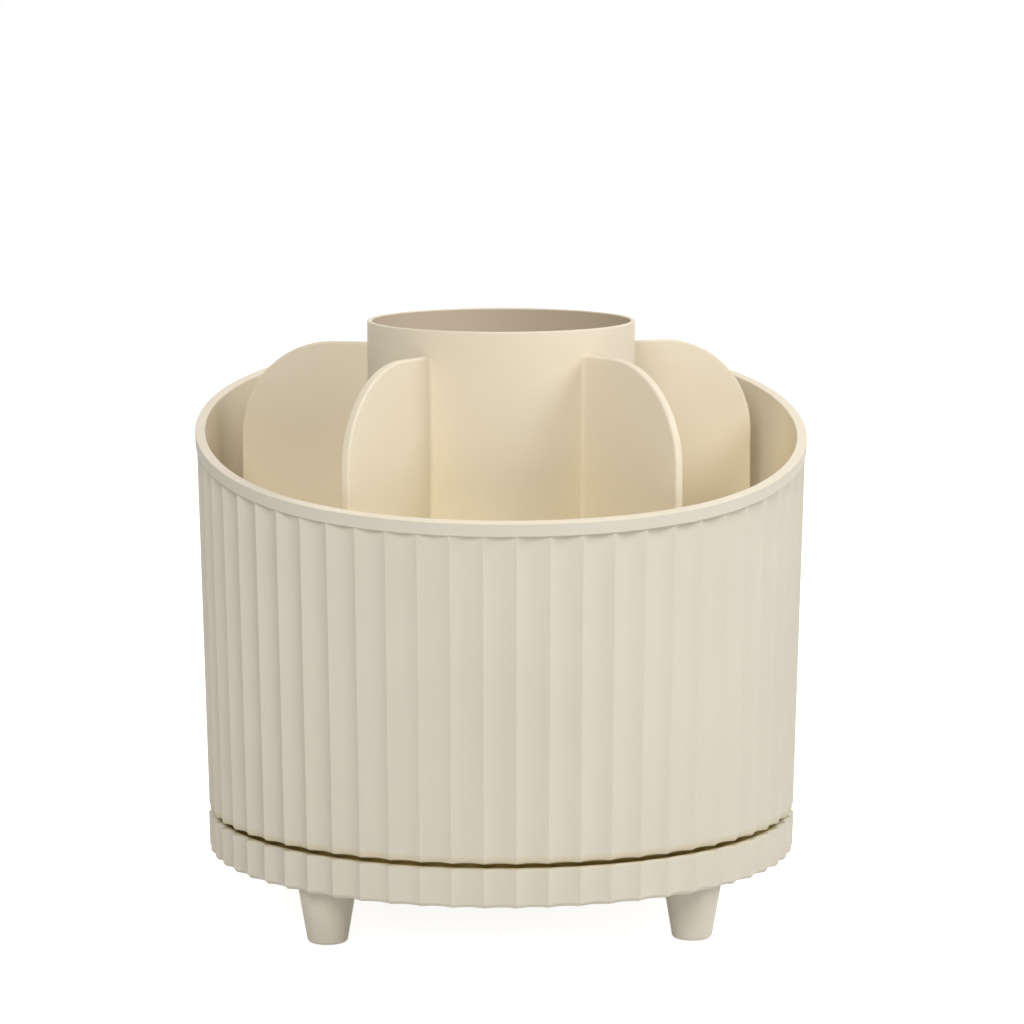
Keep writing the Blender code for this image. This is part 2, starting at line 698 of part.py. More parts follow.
def make_bearing():
    inner = BALL_CIRCLE - CAGE_WIDTH / 2
    outer = BALL_CIRCLE + CAGE_WIDTH / 2
    low = -CAGE_THICKNESS / 2
    high = CAGE_THICKNESS / 2
    section = [(outer, high), (outer, low), (inner, low), (inner, high)]
    cage_mesh = turned_mesh("ball_cage", section, TURNED_STEPS, ring=True)
    cage = place("ball_cage", cage_mesh, ACETAL, (0, 0, BALL_HEIGHT))
    pockets = cylinders_mesh(
        "ball_pockets",
        BALL_RADIUS + SEAT_GAP,
        low - OVERRUN,
        high + OVERRUN,
        BALL_CIRCLE,
        BALL_COUNT,
        0.0,
        POCKET_STEPS,
    )
    combine(cage, helper("ball_pockets", pockets, (0, 0, BALL_HEIGHT)), "DIFFERENCE")
    for number, azimuth in enumerate(around(BALL_COUNT), 1):
        bm = bmesh.new()
        bmesh.ops.create_uvsphere(
            bm, u_segments=BALL_SEGMENTS, v_segments=BALL_RINGS, radius=BALL_RADIUS
        )
        ball = bpy.data.meshes.new("ball")
        bm.to_mesh(ball)
        bm.free()
        place(f"ball_{number:02d}", ball, STEEL, on_circle(BALL_CIRCLE, azimuth, BALL_HEIGHT))


clear_scene()
parts = new_collection("makeup_brush_holder")
cutters = new_collection("cutters")
make_tray()
make_feet()
make_bearing()
make_pivot()
make_drum()
make_insert()
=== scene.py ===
"""Looks of a rotating makeup brush holder, laid out as a Blender add-on.

A fluted drum with a slanted rim turns on a footed tray over a ring of balls, and a brush cup with
dividers stands in it. Each operator makes one piece, or one group of like pieces, in metres, +Z up,
with the front towards -Y and the turning axis on the Z axis.
"""

from collections import namedtuple
from math import atan2, cos, degrees, pi, radians, sin, tan

import bmesh
import bpy
from bpy.props import FloatProperty, FloatVectorProperty, IntProperty, PointerProperty
from mathutils import Matrix, Vector


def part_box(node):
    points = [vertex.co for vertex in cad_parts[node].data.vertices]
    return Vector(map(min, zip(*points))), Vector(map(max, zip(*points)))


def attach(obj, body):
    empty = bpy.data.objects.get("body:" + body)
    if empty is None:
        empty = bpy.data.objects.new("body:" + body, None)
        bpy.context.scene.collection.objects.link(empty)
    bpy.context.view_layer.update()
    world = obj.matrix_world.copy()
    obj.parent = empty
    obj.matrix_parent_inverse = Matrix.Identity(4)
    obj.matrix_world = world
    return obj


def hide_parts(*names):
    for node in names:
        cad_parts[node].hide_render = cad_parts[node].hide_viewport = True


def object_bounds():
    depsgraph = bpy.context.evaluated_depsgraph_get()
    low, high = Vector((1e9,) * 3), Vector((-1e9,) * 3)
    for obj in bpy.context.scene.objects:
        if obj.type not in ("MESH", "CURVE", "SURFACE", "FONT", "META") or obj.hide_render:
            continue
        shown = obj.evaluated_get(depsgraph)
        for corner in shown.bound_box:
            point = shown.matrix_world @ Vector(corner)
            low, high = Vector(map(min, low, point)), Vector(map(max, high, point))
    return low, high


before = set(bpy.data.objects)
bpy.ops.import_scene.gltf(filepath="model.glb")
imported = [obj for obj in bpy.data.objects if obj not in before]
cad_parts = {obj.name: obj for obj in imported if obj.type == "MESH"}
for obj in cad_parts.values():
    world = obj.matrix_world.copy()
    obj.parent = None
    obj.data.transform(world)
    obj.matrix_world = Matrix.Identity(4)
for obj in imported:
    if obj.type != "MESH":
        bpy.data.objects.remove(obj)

bl_info = {
    "name": "Rotating Makeup Brush Holder",
    "version": (1, 0, 0),
    "blender": (4, 5, 0),
    "location": "View3D > Sidebar > Brush Holder",
    "description": "Builds a fluted brush holder that turns on a footed tray",
    "category": "Object",
}

CAD_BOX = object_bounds()
FULL_TURN = 2 * pi
MERGE_DISTANCE = 0.00001
SHARP_ANGLE = radians(32)  # an edge that bends more than this shades sharp
POLISH_POWER = 6.0  # how narrow the glossier line along an arris is
OVERRUN = 0.0020  # how far a cutter runs past what it cuts
LAP = 0.0010  # how deep joined shapes run into each other
PAPER = 0.86  # how light the floor is

PAD_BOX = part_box("foot_pad_1")
FOOT_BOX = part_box("foot_1")
TRAY_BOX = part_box("base_tray")
DRUM_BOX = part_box("drum")
INSERT_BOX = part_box("divider_insert")
CAGE_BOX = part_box("ball_cage")
BUSH_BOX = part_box("pivot_bush")
WASHER_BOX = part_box("pivot_washer")
PIVOT_SCREW_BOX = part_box("pivot_screw")
FOOT_SCREW_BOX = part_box("foot_screw_1")
BALL_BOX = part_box("ball_01")
BALL_RADIUS = (BALL_BOX[1].z - BALL_BOX[0].z) / 2
PAD_RADIUS = (PAD_BOX[1].x - PAD_BOX[0].x) / 2

# A corner's tone belongs to the surface after it and paints light and shade: 0 leaves the plastic's
# own colour outside, the inside tone paints bounce light in the drum and shade in the cup, the rim
# tone a highlight on the rim's top, the lip tone shade on the gap's lips, the deep tone dark shade
# in the gap
PAINTED_RIM_HIGHLIGHT = 1.0
PAINTED_INSIDE_TONE = 0.5
PAINTED_LIP_SHADE = -0.3
PAINTED_GAP_SHADE = -1.0
Corner = namedtuple(
    "Corner", "radius height rounding flutes rim tone", defaults=(0.0, 0.0, 0.0, 0.0)
)


# Sizes and colours that a user can change


def length(name, default, description, low=0.0):
    return FloatProperty(
        name=name, description=description, default=default, min=low, unit="LENGTH", precision=5
    )


def angle(name, default, description):
    return FloatProperty(name=name, description=description, default=default, unit="ROTATION")


def number(name, default, description):
    return IntProperty(name=name, description=description, default=default, min=1)


def amount(name, default, description):
    return FloatProperty(name=name, description=description, default=default, min=0.0)


def colour(name, default, description):
    return FloatVectorProperty(
        name=name, description=description, default=default, subtype="COLOR", min=0.0, max=1.0
    )


class FluteSizes(bpy.types.PropertyGroup):
    """The fluted outline that the drum and the tray share."""

    arris_radius: length("Arris Radius", 0.0868, "Radius of the arrises at the tray's bottom")
    draft: angle("Draft", radians(1.42), "How much the fluted wall leans out")
    count: number("Flutes", 60, "Number of flutes around the wall")
    depth: length("Flute Depth", 0.0015, "Depth of a flute below its arrises")
    steps: number("Steps", 10, "Mesh columns across one flute")
    softness: length("Arris Softness", 0.00005, "How much each arris is rounded off")
    crowding: amount("Arris Crowding", 0.75, "How much the columns crowd towards the arrises")


class DrumSizes(bpy.types.PropertyGroup):
    """The turning drum."""

    gap: length("Gap", 0.0013, "Gap between the tray and the drum")
    rim_rise: length("Rim Rise", 0.0175, "Half of the rim's climb from front to back")
    rim_ease: length("Rim Ease", 0.0010, "How much the rim is levelled at front and back")
    wall: length("Wall", 0.0026, "Wall thickness, from the arrises")
    band_height: length("Band Height", 0.0037, "Height of the plain band under the rim")
    band_proud: length("Band Proud", 0.00039, "How far the band stands out of the arrises")
    band_edge: length("Rim Edge", 0.0004, "Rounding of the rim")
    band_lip: length("Band Lip", 0.0002, "Rounding of the band's lower edge")
    bottom_edge: length("Bottom Edge", 0.0012, "Rounding of the drum's bottom edge")
    lip: length("Lip", 0.0024, "How high the lip above the gap reaches")
    skirt: length("Skirt", 0.0008, "How far the wall reaches below the floor")
    skirt_wall: length("Skirt Wall", 0.0032, "Wall thickness below the floor")
    floor: length("Floor", 0.0022, "Floor thickness")
    fillet: length("Inner Fillet", 0.0025, "Fillet between floor and wall")
    locating_radius: length("Ring Radius", 0.0354, "Outer radius of the cup's locating ring")
    locating_wall: length("Ring Wall", 0.0018, "Thickness of the locating ring")
    locating_height: length("Ring Height", 0.0040, "Height of the locating ring")
    hub_wall: length("Hub Wall", 0.0040, "Wall of the hub round the bush")
    guide_length: length("Guide Length", 0.0080, "Length of a divider guide")
    guide_width: length("Guide Width", 0.0014, "Thickness of a divider guide")
    guide_height: length("Guide Height", 0.0030, "Height of a divider guide")
    guide_gap: length("Guide Gap", 0.0004, "Gap between a guide and a divider")
    soft_edge: length("Soft Edge", 0.0003, "Small rounding of moulded edges")


class TraySizes(bpy.types.PropertyGroup):
    """The base tray."""

    height: length("Height", 0.0113, "Height of the tray's fluted wall")
    proud: length("Proud", 0.0002, "How far its flutes stand out of the drum's")
    wall: length("Wall", 0.0028, "Wall thickness, from the arrises")
    lip: length("Lip", 0.0005, "How far the wall reaches below the floor")
    floor: length("Floor", 0.0030, "Floor thickness")
    top_edge: length("Top Edge", 0.0006, "Rounding of the wall's top")
    bevel: length("Bevel", 0.0010, "Bevel at the wall's bottom")
    recess_radius: length("Recess Radius", 0.0520, "Radius of the recess below")
    recess: length("Recess", 0.0015, "Depth of the recess below")
    rib_count: number("Ribs", 8, "Number of ribs in the recess")
    rib_width: length("Rib Width", 0.0016, "Thickness of a rib")
    rib_depth: length("Rib Depth", 0.0012, "Height of a rib")
    shield_gap: length("Shield Gap", 0.0020, "Gap between the drum's wall and the shield ring")
    shield_wall: length("Shield Wall", 0.0016, "Thickness of the shield ring")
    shield_rise: length("Shield Rise", 0.0003, "How far the ring passes the drum's bottom edge")
    post_flare: length("Post Flare", 0.0030, "Flare at the post's foot")
    soft_edge: length("Soft Edge", 0.0003, "Small rounding of moulded edges")


class InsertSizes(bpy.types.PropertyGroup):
    """The brush cup and its dividers."""

    cup_radius: length("Cup Radius", 0.0395, "Outer radius of the cup's top")
    cup_wall: length("Cup Wall", 0.0014, "Wall thickness of the cup")
    cup_draft: angle("Cup Draft", radians(0.35), "How much the cup widens upwards")
    cup_edge: length("Cup Edge", 0.0004, "Rounding of the cup's top edge")
    cup_floor_height: length("Cup Floor Height", 0.0085, "Hollow below the cup's floor")
    cup_floor: length("Cup Floor", 0.0025, "Thickness of the cup's floor")
    floor_fillet: length("Floor Fillet", 0.0020, "Fillet round the cup's floor")
    panel_count: number("Dividers", 5, "Number of dividers")
    panel_reach: length("Reach", 0.0803, "How far a divider reaches from the axis")
    panel_height: length("Divider Height", 0.1341, "Height of a divider")
    panel_thickness: length("Divider Thickness", 0.0028, "Thickness of a divider")
    panel_corner: length("Divider Corner", 0.0286, "Radius of a divider's top corner")
    panel_toe: length("Divider Toe", 0.0040, "Radius of a divider's bottom corner")
    panel_edge: length("Divider Edge", 0.0007, "Rounding of a divider's edges")
    web_fillet: length("Web Fillet", 0.0010, "Fillet between a divider and the cup")


class FootSizes(bpy.types.PropertyGroup):
    """The feet, their pads and their screws."""

    count: number("Feet", 4, "Number of feet")
    circle: length("Foot Circle", 0.0743, "How far the feet stand from the axis")
    top_radius: length("Top Radius", 0.0085, "Radius of a foot at the tray")
    bottom_radius: length("Bottom Radius", 0.0057, "Radius of a foot near its bottom")
    edge: length("Bottom Edge", 0.0017, "Rounding of a foot's bottom")
    pad_gap: length("Pad Gap", 0.0003, "Gap round a pad in its recess")
    pad_edge: length("Pad Edge", 0.0003, "Rounding of a pad")


class BearingSizes(bpy.types.PropertyGroup):
    """The ball ring and its tracks, and the pivot."""

    ball_count: number("Balls", 12, "Number of balls")
    ball_circle: length("Ball Circle", 0.0610, "Radius of the ring of balls")
    ball_gap: length("Ball Gap", 0.0003, "Gap between a ball and its track or pocket")
    track_width: length("Track Width", 0.0100, "Width of a ball track")
    track_height: length("Track Height", 0.0015, "How far the lower track stands up")
    groove_depth: length("Groove Depth", 0.0010, "Depth of a track's groove")
    edge: length("Edge", 0.0003, "Rounding of the small fittings")
    post_radius: length("Post Radius", 0.0060, "Radius of the tray's post")
    bush_wall: length("Bush Wall", 0.0018, "Wall of the pivot bush")
    run_gap: length("Running Gap", 0.0002, "Clearance between the bush and the post")
    seat_gap: length("Seat Gap", 0.0003, "Gap between pieces that touch")
    flange: length("Flange", 0.0012, "Thickness of the bush's flange")
    screw_bore: length("Screw Bore", 0.0022, "Radius of the pivot screw's bore")
    tip_gap: length("Tip Gap", 0.0008, "Gap below the pivot screw's tip")
    pivot_shank: length("Pivot Shank", 0.0019, "Radius of the pivot screw's shank")
    pivot_head: length("Pivot Head", 0.0024, "Height of the pivot screw's head")
    foot_shank: length("Foot Screw Shank", 0.0014, "Radius of a foot screw's shank")
    foot_head: length("Foot Screw Head", 0.0018, "Height of a foot screw's head")


class Finishes(bpy.types.PropertyGroup):
    """Colours of the surfaces, some of them with light and shade painted in."""

    cream: colour("Cream", (0.780, 0.724, 0.610), "Plastic of the drum, tray and feet")
    # Painted bounce light: the inside of the drum is coloured lighter than its plastic
    inner_painted_light: colour("Inner Cream", (0.900, 0.815, 0.640), "The same plastic, seen inside")
    # Painted shade: the inside of the gap is coloured dark and warm
    gap_painted_shade: colour("Deep Cream", (0.620, 0.480, 0.160), "The same plastic, deep in the gap")
    # Painted highlight: the top of the rim is coloured lighter than its plastic
    rim_painted_highlight: colour("Rim Cream", (0.940, 0.850, 0.700), "The same plastic, on top of the rim")
    # The insert's colour at its foot, which the material leaves paler there as painted bounce light
    insert_cream: colour("Insert Cream", (0.985, 0.880, 0.660), "Plastic of the insert")
    # Painted shade: the inside of the cup is coloured darker than its plastic
    cup_painted_shade: colour("Cup Cream", (0.740, 0.630, 0.460), "The same plastic, inside the cup")
    bearing_white: colour("Bearing White", (0.780, 0.775, 0.740), "Slippery white plastic")
    steel: colour("Steel", (0.620, 0.620, 0.630), "Plated steel")
    rubber: colour("Rubber", (0.400, 0.380, 0.340), "Rubber of the pads")


class StudioSettings(bpy.types.PropertyGroup):
    """Camera, lamps and floor."""

    lens: amount("Lens", 152.58, "Focal length in millimetres on a 36 mm sensor")
    pitch: angle("Pitch", radians(7.768), "How far the camera looks down")
    turn: angle("Turn", radians(-2.93), "How far the camera stands round to the left")
    distance: length("Distance", 1.275, "Level distance from the axis to the camera")
    side: length("Side", 0.0032, "How far the camera stands to the right of the axis", low=-1.0)
    height: length("Height", 0.2913, "Camera height above the floor")
    lamp_distance: length("Lamp Distance", 1.6, "How far the lamps stand from the object")
    lamp_size: length("Lamp Size", 0.9, "Width of a round soft lamp")
    lamp_rise: angle("Lamp Rise", radians(35), "How high the lamps around the object stand")
    top_rise: angle("Top Lamp Rise", radians(70), "How high the lamp overhead stands")
    front_power: amount("Front Power", 12.7, "Lamp in front, a little left, in watts")
    key_power: amount("Key Power", 11.2, "Lamp on the right, in watts")
    rear_power: amount("Rear Power", 2.0, "Lamp on the right, a little behind, in watts")
    back_power: amount("Back Power", 2.2, "Weak lamp behind, a little left, in watts")
    top_power: amount("Top Power", 4.0, "Lamp overhead, a little behind, in watts")
    world_strength: amount("World Strength", 0.09, "Strength of the even room light")
    floor_half: length("Floor Half Width", 2.0, "Half the width of the floor")


class HolderSettings(bpy.types.PropertyGroup):
    """Everything that the operators read."""

    flutes: PointerProperty(type=FluteSizes)
    drum: PointerProperty(type=DrumSizes)
    tray: PointerProperty(type=TraySizes)
    insert: PointerProperty(type=InsertSizes)
    feet: PointerProperty(type=FootSizes)
    bearing: PointerProperty(type=BearingSizes)
    finishes: PointerProperty(type=Finishes)
    studio: PointerProperty(type=StudioSettings)


# Node tree helpers


def connect(tree, value, socket):
    """Links a socket to an output, or sets its value."""
    if isinstance(value, bpy.types.NodeSocket):
        tree.links.new(value, socket)
    else:
        socket.default_value = value


def set_inputs(tree, node, values):
    """Fills a node's inputs by name."""
    for name, value in values.items():
        connect(tree, value, node.inputs[name])


def add_node(tree, kind, *values, **settings):
    """A node whose inputs are filled in order, where None leaves one as it is."""
    node = tree.nodes.new(kind)
    for name, value in settings.items():
        setattr(node, name, value)
    sockets = [socket for socket in node.inputs if socket.enabled]
    for socket, value in zip(sockets, values):
        if value is not None:
            connect(tree, value, socket)
    return node


def output(tree, kind, *values, **settings):
    """The first output of a new node."""
    node = add_node(tree, kind, *values, **settings)
    return next(socket for socket in node.outputs if socket.enabled)


def calc(tree, operation, *values):
    """The output of a Math node."""
    return output(tree, "ShaderNodeMath", *values, operation=operation)


def whole(tree, operation, *values):
    """The output of an Integer Math node."""
    return output(tree, "FunctionNodeIntegerMath", *values, operation=operation)


def geometry_tree(name, sockets):
    """A geometry tree with named inputs, and a dict from their names to their sockets."""
    tree = bpy.data.node_groups.new(name, "GeometryNodeTree")
    for label, kind in sockets.items():
        tree.interface.new_socket(name=label, in_out="INPUT", socket_type="NodeSocket" + kind)
    tree.interface.new_socket(name="Geometry", in_out="OUTPUT", socket_type="NodeSocketGeometry")
    outputs = tree.nodes.new("NodeGroupInput").outputs
    return tree, {label: outputs[label] for label in sockets}


def end_tree(tree, geometry, material):
    """Ends a geometry tree in Realize Instances and Set Material."""
    real = output(tree, "GeometryNodeRealizeInstances", geometry)
    smooth = output(tree, "GeometryNodeSetShadeSmooth", real)
    painted = output(tree, "GeometryNodeSetMaterial", smooth, None, material)
    add_node(tree, "NodeGroupOutput", painted)


def linked(name, data):
    """A new object in the scene."""
    made = bpy.data.objects.new(name, data)
    bpy.context.scene.collection.objects.link(made)
    return made


def tree_result(name, tree, mesh, values):
    """The plain mesh that a geometry tree makes from another mesh."""
    carrier = linked(name, mesh)
    modifier = carrier.modifiers.new("build", "NODES")
    modifier.node_group = tree
    for item in tree.interface.items_tree:
        if item.in_out == "INPUT" and item.name in values:
            modifier[item.identifier] = values[item.name]
    return taken_mesh(name, carrier)


def taken_mesh(name, carrier):
    """The evaluated mesh of a carrier object, which is then removed."""
    bpy.context.view_layer.update()
    graph = bpy.context.evaluated_depsgraph_get()
    mesh = bpy.data.meshes.new_from_object(carrier.evaluated_get(graph))
    mesh.name = name
    bpy.data.objects.remove(carrier, do_unlink=True)
    return mesh


# Geometry trees


def fluted_shell_tree():
    """Sweeps a closed section round the axis, with flutes and a slanted rim where it says so."""
    tree, given = geometry_tree(
        "Fluted shell",
        {
            "Section": "Geometry",
            "Flute Count": "Int",
            "Steps Per Flute": "Int",
            "Flute Depth": "Float",
            "Arris Softness": "Float",
            "Arris Crowding": "Float",
            "Rim Rise": "Float",
            "Rim Ease": "Float",
            "Wall Slope": "Float",
            "Material": "Material",
        },
    )
    section = given["Section"]
    steps = given["Steps Per Flute"]
    softness = given["Arris Softness"]
    size = add_node(tree, "GeometryNodeAttributeDomainSize", section, component="MESH")
    ring_total = size.outputs["Point Count"]
    rows = whole(tree, "ADD", ring_total, 1)
    columns = whole(tree, "ADD", whole(tree, "MULTIPLY", given["Flute Count"], steps), 1)
    shape = output(tree, "GeometryNodeMeshGrid", 1.0, 1.0, columns, rows)
    index = output(tree, "GeometryNodeInputIndex")
    column = whole(tree, "DIVIDE_FLOOR", index, rows)
    ring = whole(tree, "MODULO", whole(tree, "MODULO", index, rows), ring_total)

    def times(first, second):
        return calc(tree, "MULTIPLY", first, second)

    def on_ring(kind, field):
        return output(
            tree, "GeometryNodeSampleIndex", section, field, ring, data_type=kind, domain="POINT"
        )

    def stored(name):
        field = output(tree, "GeometryNodeInputNamedAttribute", name, data_type="FLOAT")
        return on_ring("FLOAT", field)

    place = on_ring("FLOAT_VECTOR", output(tree, "GeometryNodeInputPosition"))
    corner = add_node(tree, "ShaderNodeSeparateXYZ", place).outputs
    # The tone of each ring paints light and shade in the material
    flutes, rim, tone = stored("flutes"), stored("rim"), stored("tone")

    # The azimuth of a column, where the columns crowd towards the arrises
    share = calc(tree, "DIVIDE", whole(tree, "MODULO", column, steps), steps)
    wave = calc(tree, "SINE", times(share, FULL_TURN))
    pull = times(wave, calc(tree, "DIVIDE", given["Arris Crowding"], FULL_TURN))
    eased = calc(tree, "SUBTRACT", share, pull)
    passed = calc(tree, "ADD", whole(tree, "DIVIDE_FLOOR", column, steps), eased)
    azimuth = times(calc(tree, "DIVIDE", passed, given["Flute Count"]), FULL_TURN)

    # How deep a flute cuts there
    across = calc(tree, "MULTIPLY_ADD", eased, 2.0, -1.0)
    hollow = calc(tree, "SUBTRACT", 1.0, times(across, across))
    sharp_cut = times(hollow, given["Flute Depth"])
    reach = calc(tree, "MULTIPLY_ADD", sharp_cut, sharp_cut, times(softness, softness))
    cut = calc(tree, "SUBTRACT", calc(tree, "SQRT", reach), softness)

    # How far the rim climbs there: the cosine slants it, and its third harmonic levels its ends
    slant = times(calc(tree, "COSINE", azimuth), given["Rim Rise"])
    levelling = calc(tree, "COSINE", times(azimuth, 3.0))
    climb = calc(tree, "SUBTRACT", times(levelling, given["Rim Ease"]), slant)
    lift = times(climb, rim)

    height = calc(tree, "ADD", corner["Z"], lift)
    drafted = calc(tree, "MULTIPLY_ADD", lift, given["Wall Slope"], corner["X"])
    radius = calc(tree, "SUBTRACT", drafted, times(cut, flutes))
    east = times(radius, calc(tree, "SINE", azimuth))
    south = times(times(radius, calc(tree, "COSINE", azimuth)), -1.0)
    point = output(tree, "ShaderNodeCombineXYZ", east, south, height)

    edge = calc(tree, "POWER", calc(tree, "SUBTRACT", 1.0, hollow), POLISH_POWER)
    for label, field in (("arris", times(flutes, edge)), ("tone", tone)):
        shape = output(
            tree,
            "GeometryNodeStoreNamedAttribute",
            shape,
            None,
            label,
            field,
            data_type="FLOAT",
            domain="POINT",
        )
    shape = output(tree, "GeometryNodeSetPosition", shape, None, point)
    shape = output(tree, "GeometryNodeMergeByDistance", shape, None, MERGE_DISTANCE)
    end_tree(tree, shape, given["Material"])
    return tree


def copies_tree():
    """Copies a piece at the front evenly round the axis."""
    tree, given = geometry_tree(
        "Copies round the axis",
        {"Piece": "Geometry", "Count": "Int", "Start": "Float", "Material": "Material"},
    )
    piece = given["Piece"]
    points = output(tree, "GeometryNodePoints", given["Count"])
    index = output(tree, "GeometryNodeInputIndex")
    step = calc(tree, "DIVIDE", FULL_TURN, given["Count"])
    turn = calc(tree, "MULTIPLY_ADD", index, step, given["Start"])
    euler = output(tree, "ShaderNodeCombineXYZ", 0.0, 0.0, turn)
    rotation = output(tree, "FunctionNodeEulerToRotation", euler)
    copied = output(
        tree, "GeometryNodeInstanceOnPoints", points, None, piece, None, None, rotation
    )
    end_tree(tree, copied, given["Material"])
    return tree


# Shape helpers


def rounded(corners, steps=4, closed=True):
    """The corners with an arc cut into each one that has a rounding."""
    points = []
    for index, corner in enumerate(corners):
        inside = closed or 0 < index < len(corners) - 1
        if not inside or not corner.rounding:
            points.append(corner._replace(rounding=0.0))
            continue
        here = Vector((corner.radius, corner.height))
        last = corners[index - 1]
        following = corners[(index + 1) % len(corners)]
        back = Vector((last.radius, last.height)) - here
        ahead = Vector((following.radius, following.height)) - here
        half = back.angle(ahead) / 2
        reach = min(corner.rounding / tan(half), back.length / 2, ahead.length / 2)
        back.normalize()
        ahead.normalize()
        centre = here + (back + ahead).normalized() * reach / cos(half)
        start = here + back * reach - centre
        end = here + ahead * reach - centre
        for step in range(steps + 1):
            share = step / steps
            spot = centre + start.slerp(end, share) * start.length
            # The painted light and shade blend along the arc
            tone = last.tone + (corner.tone - last.tone) * share
            points.append(Corner(spot.x, spot.y, 0.0, corner.flutes, corner.rim, tone))
    return points


def store(mesh, label, values):
    """Gives each point of a mesh its value under a label."""
    mesh.attributes.new(label, "FLOAT", "POINT").data.foreach_set("value", values)


def section_mesh(name, corners):
    """A mesh of a section's points, which say where flutes, slanted rim and painted light and shade
    go.
    """
    mesh = bpy.data.meshes.new(name)
    mesh.from_pydata([(corner.radius, 0, corner.height) for corner in corners], [], [])
    for label in ("flutes", "rim", "tone"):
        store(mesh, label, [getattr(corner, label) for corner in corners])
    return mesh


def fluted_shell(name, corners, material, rim_rise=0.0, rim_ease=0.0):
    flutes = bpy.context.scene.brush_holder.flutes
    values = {
        "Flute Count": flutes.count,
        "Steps Per Flute": flutes.steps,
        "Flute Depth": flutes.depth,
        "Arris Softness": flutes.softness,
        "Arris Crowding": flutes.crowding,
        "Rim Rise": rim_rise,
        "Rim Ease": rim_ease,
        "Wall Slope": tan(flutes.draft),
        "Material": material,
    }
    return tree_result(name, fluted_shell_tree(), section_mesh(name, corners), values)


def copies(name, mesh, count, material, between=False):
    """Copies of a piece round the axis, the first at the front or half a step past it."""
    start = FULL_TURN / count / 2 if between else 0.0
    values = {"Count": count, "Start": start, "Material": material}
    return tree_result(name, copies_tree(), mesh, values)


def new_mesh(name, bm):
    """A mesh from a bmesh, which is then freed."""
    mesh = bpy.data.meshes.new(name)
    bm.to_mesh(mesh)
    bm.free()
    return mesh


def primitive(name, kind, place, **settings):
    """The mesh of a bmesh primitive at its place."""
    bm = bmesh.new()
    getattr(bmesh.ops, "create_" + kind)(bm, **settings)
    bmesh.ops.translate(bm, vec=place, verts=bm.verts)
    return new_mesh(name, bm)


def turned(name, corners, steps, arc_steps=4, closed=False):
    """A rounded section turned round the axis, closed into a ring or ending on the axis."""
    corners = rounded(corners, arc_steps, closed)
    bm = bmesh.new()
    made = [bm.verts.new((corner.radius, 0, corner.height)) for corner in corners]
    for first, second in zip(made, made[1:] + made[: 1 if closed else 0]):
        bm.edges.new((first, second))
    carrier = linked(name, new_mesh(name, bm))
    screw = carrier.modifiers.new("turn", "SCREW")
    screw.steps = steps
    screw.render_steps = steps
    screw.use_merge_vertices = True
    screw.merge_threshold = MERGE_DISTANCE
    return taken_mesh(name, carrier)


def plate(name, outline, thickness, edge):
    """A flat plate with rounded edges, from a 2D curve in the XY plane."""
    curve = bpy.data.curves.new(name, "CURVE")
    curve.dimensions = "2D"
    curve.fill_mode = "BOTH"
    curve.extrude = thickness / 2 - edge
    curve.bevel_depth = edge
    curve.bevel_resolution = 2
    curve.offset = -edge
    spline = curve.splines.new("POLY")
    spline.points.add(len(outline) - 1)
    for point, (x, y) in zip(spline.points, outline):
        point.co = (x, y, 0, 1)
    spline.use_cyclic_u = True
    return cleaned(taken_mesh(name, linked(name, curve)))


def cleaned(mesh):
    """Merges a mesh's doubles and turns its faces outwards."""
    bm = bmesh.new()
    bm.from_mesh(mesh)
    bmesh.ops.remove_doubles(bm, verts=bm.verts, dist=MERGE_DISTANCE)
    bmesh.ops.recalc_face_normals(bm, faces=bm.faces)
    bm.to_mesh(mesh)
    bm.free()
    return mesh


def upright(mesh):
    """Stands a plate up at the front: its X runs outwards from the axis and its Y runs up."""
    mesh.transform(Matrix(((0, 0, -1, 0), (-1, 0, 0, 0), (0, 1, 0, 0), (0, 0, 0, 1))))
    return mesh


def combined(name, mesh, operation, *others):
    """The mesh after the same Boolean operation with each of the others."""
    target = linked(name, mesh)
    tools = [linked(name + "_other", other) for other in others]
    for tool in tools:
        modifier = target.modifiers.new(operation.lower(), "BOOLEAN")
        modifier.operation = operation
        modifier.solver = "EXACT"
        modifier.object = tool
    made = taken_mesh(name, target)
    for tool in tools:
        bpy.data.objects.remove(tool, do_unlink=True)
    return made


def arc_points(centre, radius, start, end, steps):
    """Points of an arc in a plane, with angles in degrees."""
    turns = [radians(start + (end - start) * step / steps) for step in range(steps + 1)]
    return [(centre[0] + radius * cos(turn), centre[1] + radius * sin(turn)) for turn in turns]


def add_piece(name, mesh, material, body, slot, *nodes):
    """Adds a finished piece, which rides on a body and stands for its nodes."""
    mesh = cleaned(mesh)
    mesh.materials.clear()
    mesh.materials.append(material)
    mesh.shade_smooth()
    mesh.set_sharp_from_angle(angle=SHARP_ANGLE)
    piece = bpy.data.objects.new(name, mesh)
    collection = bpy.data.collections.get("brush_holder_looks")
    if collection is None:
        collection = bpy.data.collections.new("brush_holder_looks")
        bpy.context.scene.collection.children.link(collection)
    collection.objects.link(piece)
    weighted = piece.modifiers.new("even_shading", "WEIGHTED_NORMAL")
    weighted.keep_sharp = True
    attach(piece, body)
    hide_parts(*nodes)


def numbered(stem, count, digits=1):
    return [f"{stem}_{number:0{digits}d}" for number in range(1, count + 1)]


def add_at_feet(name, mesh, material, slot, stem):
    """Adds copies of a piece that is made on the axis, one at each foot."""
    feet = bpy.context.scene.brush_holder.feet
    mesh.transform(Matrix.Translation((0, -feet.circle, 0)))
    made = copies(name, mesh, feet.count, material, between=True)
    add_piece(name, made, material, "base", slot, *numbered(stem, feet.count))


# Finishes


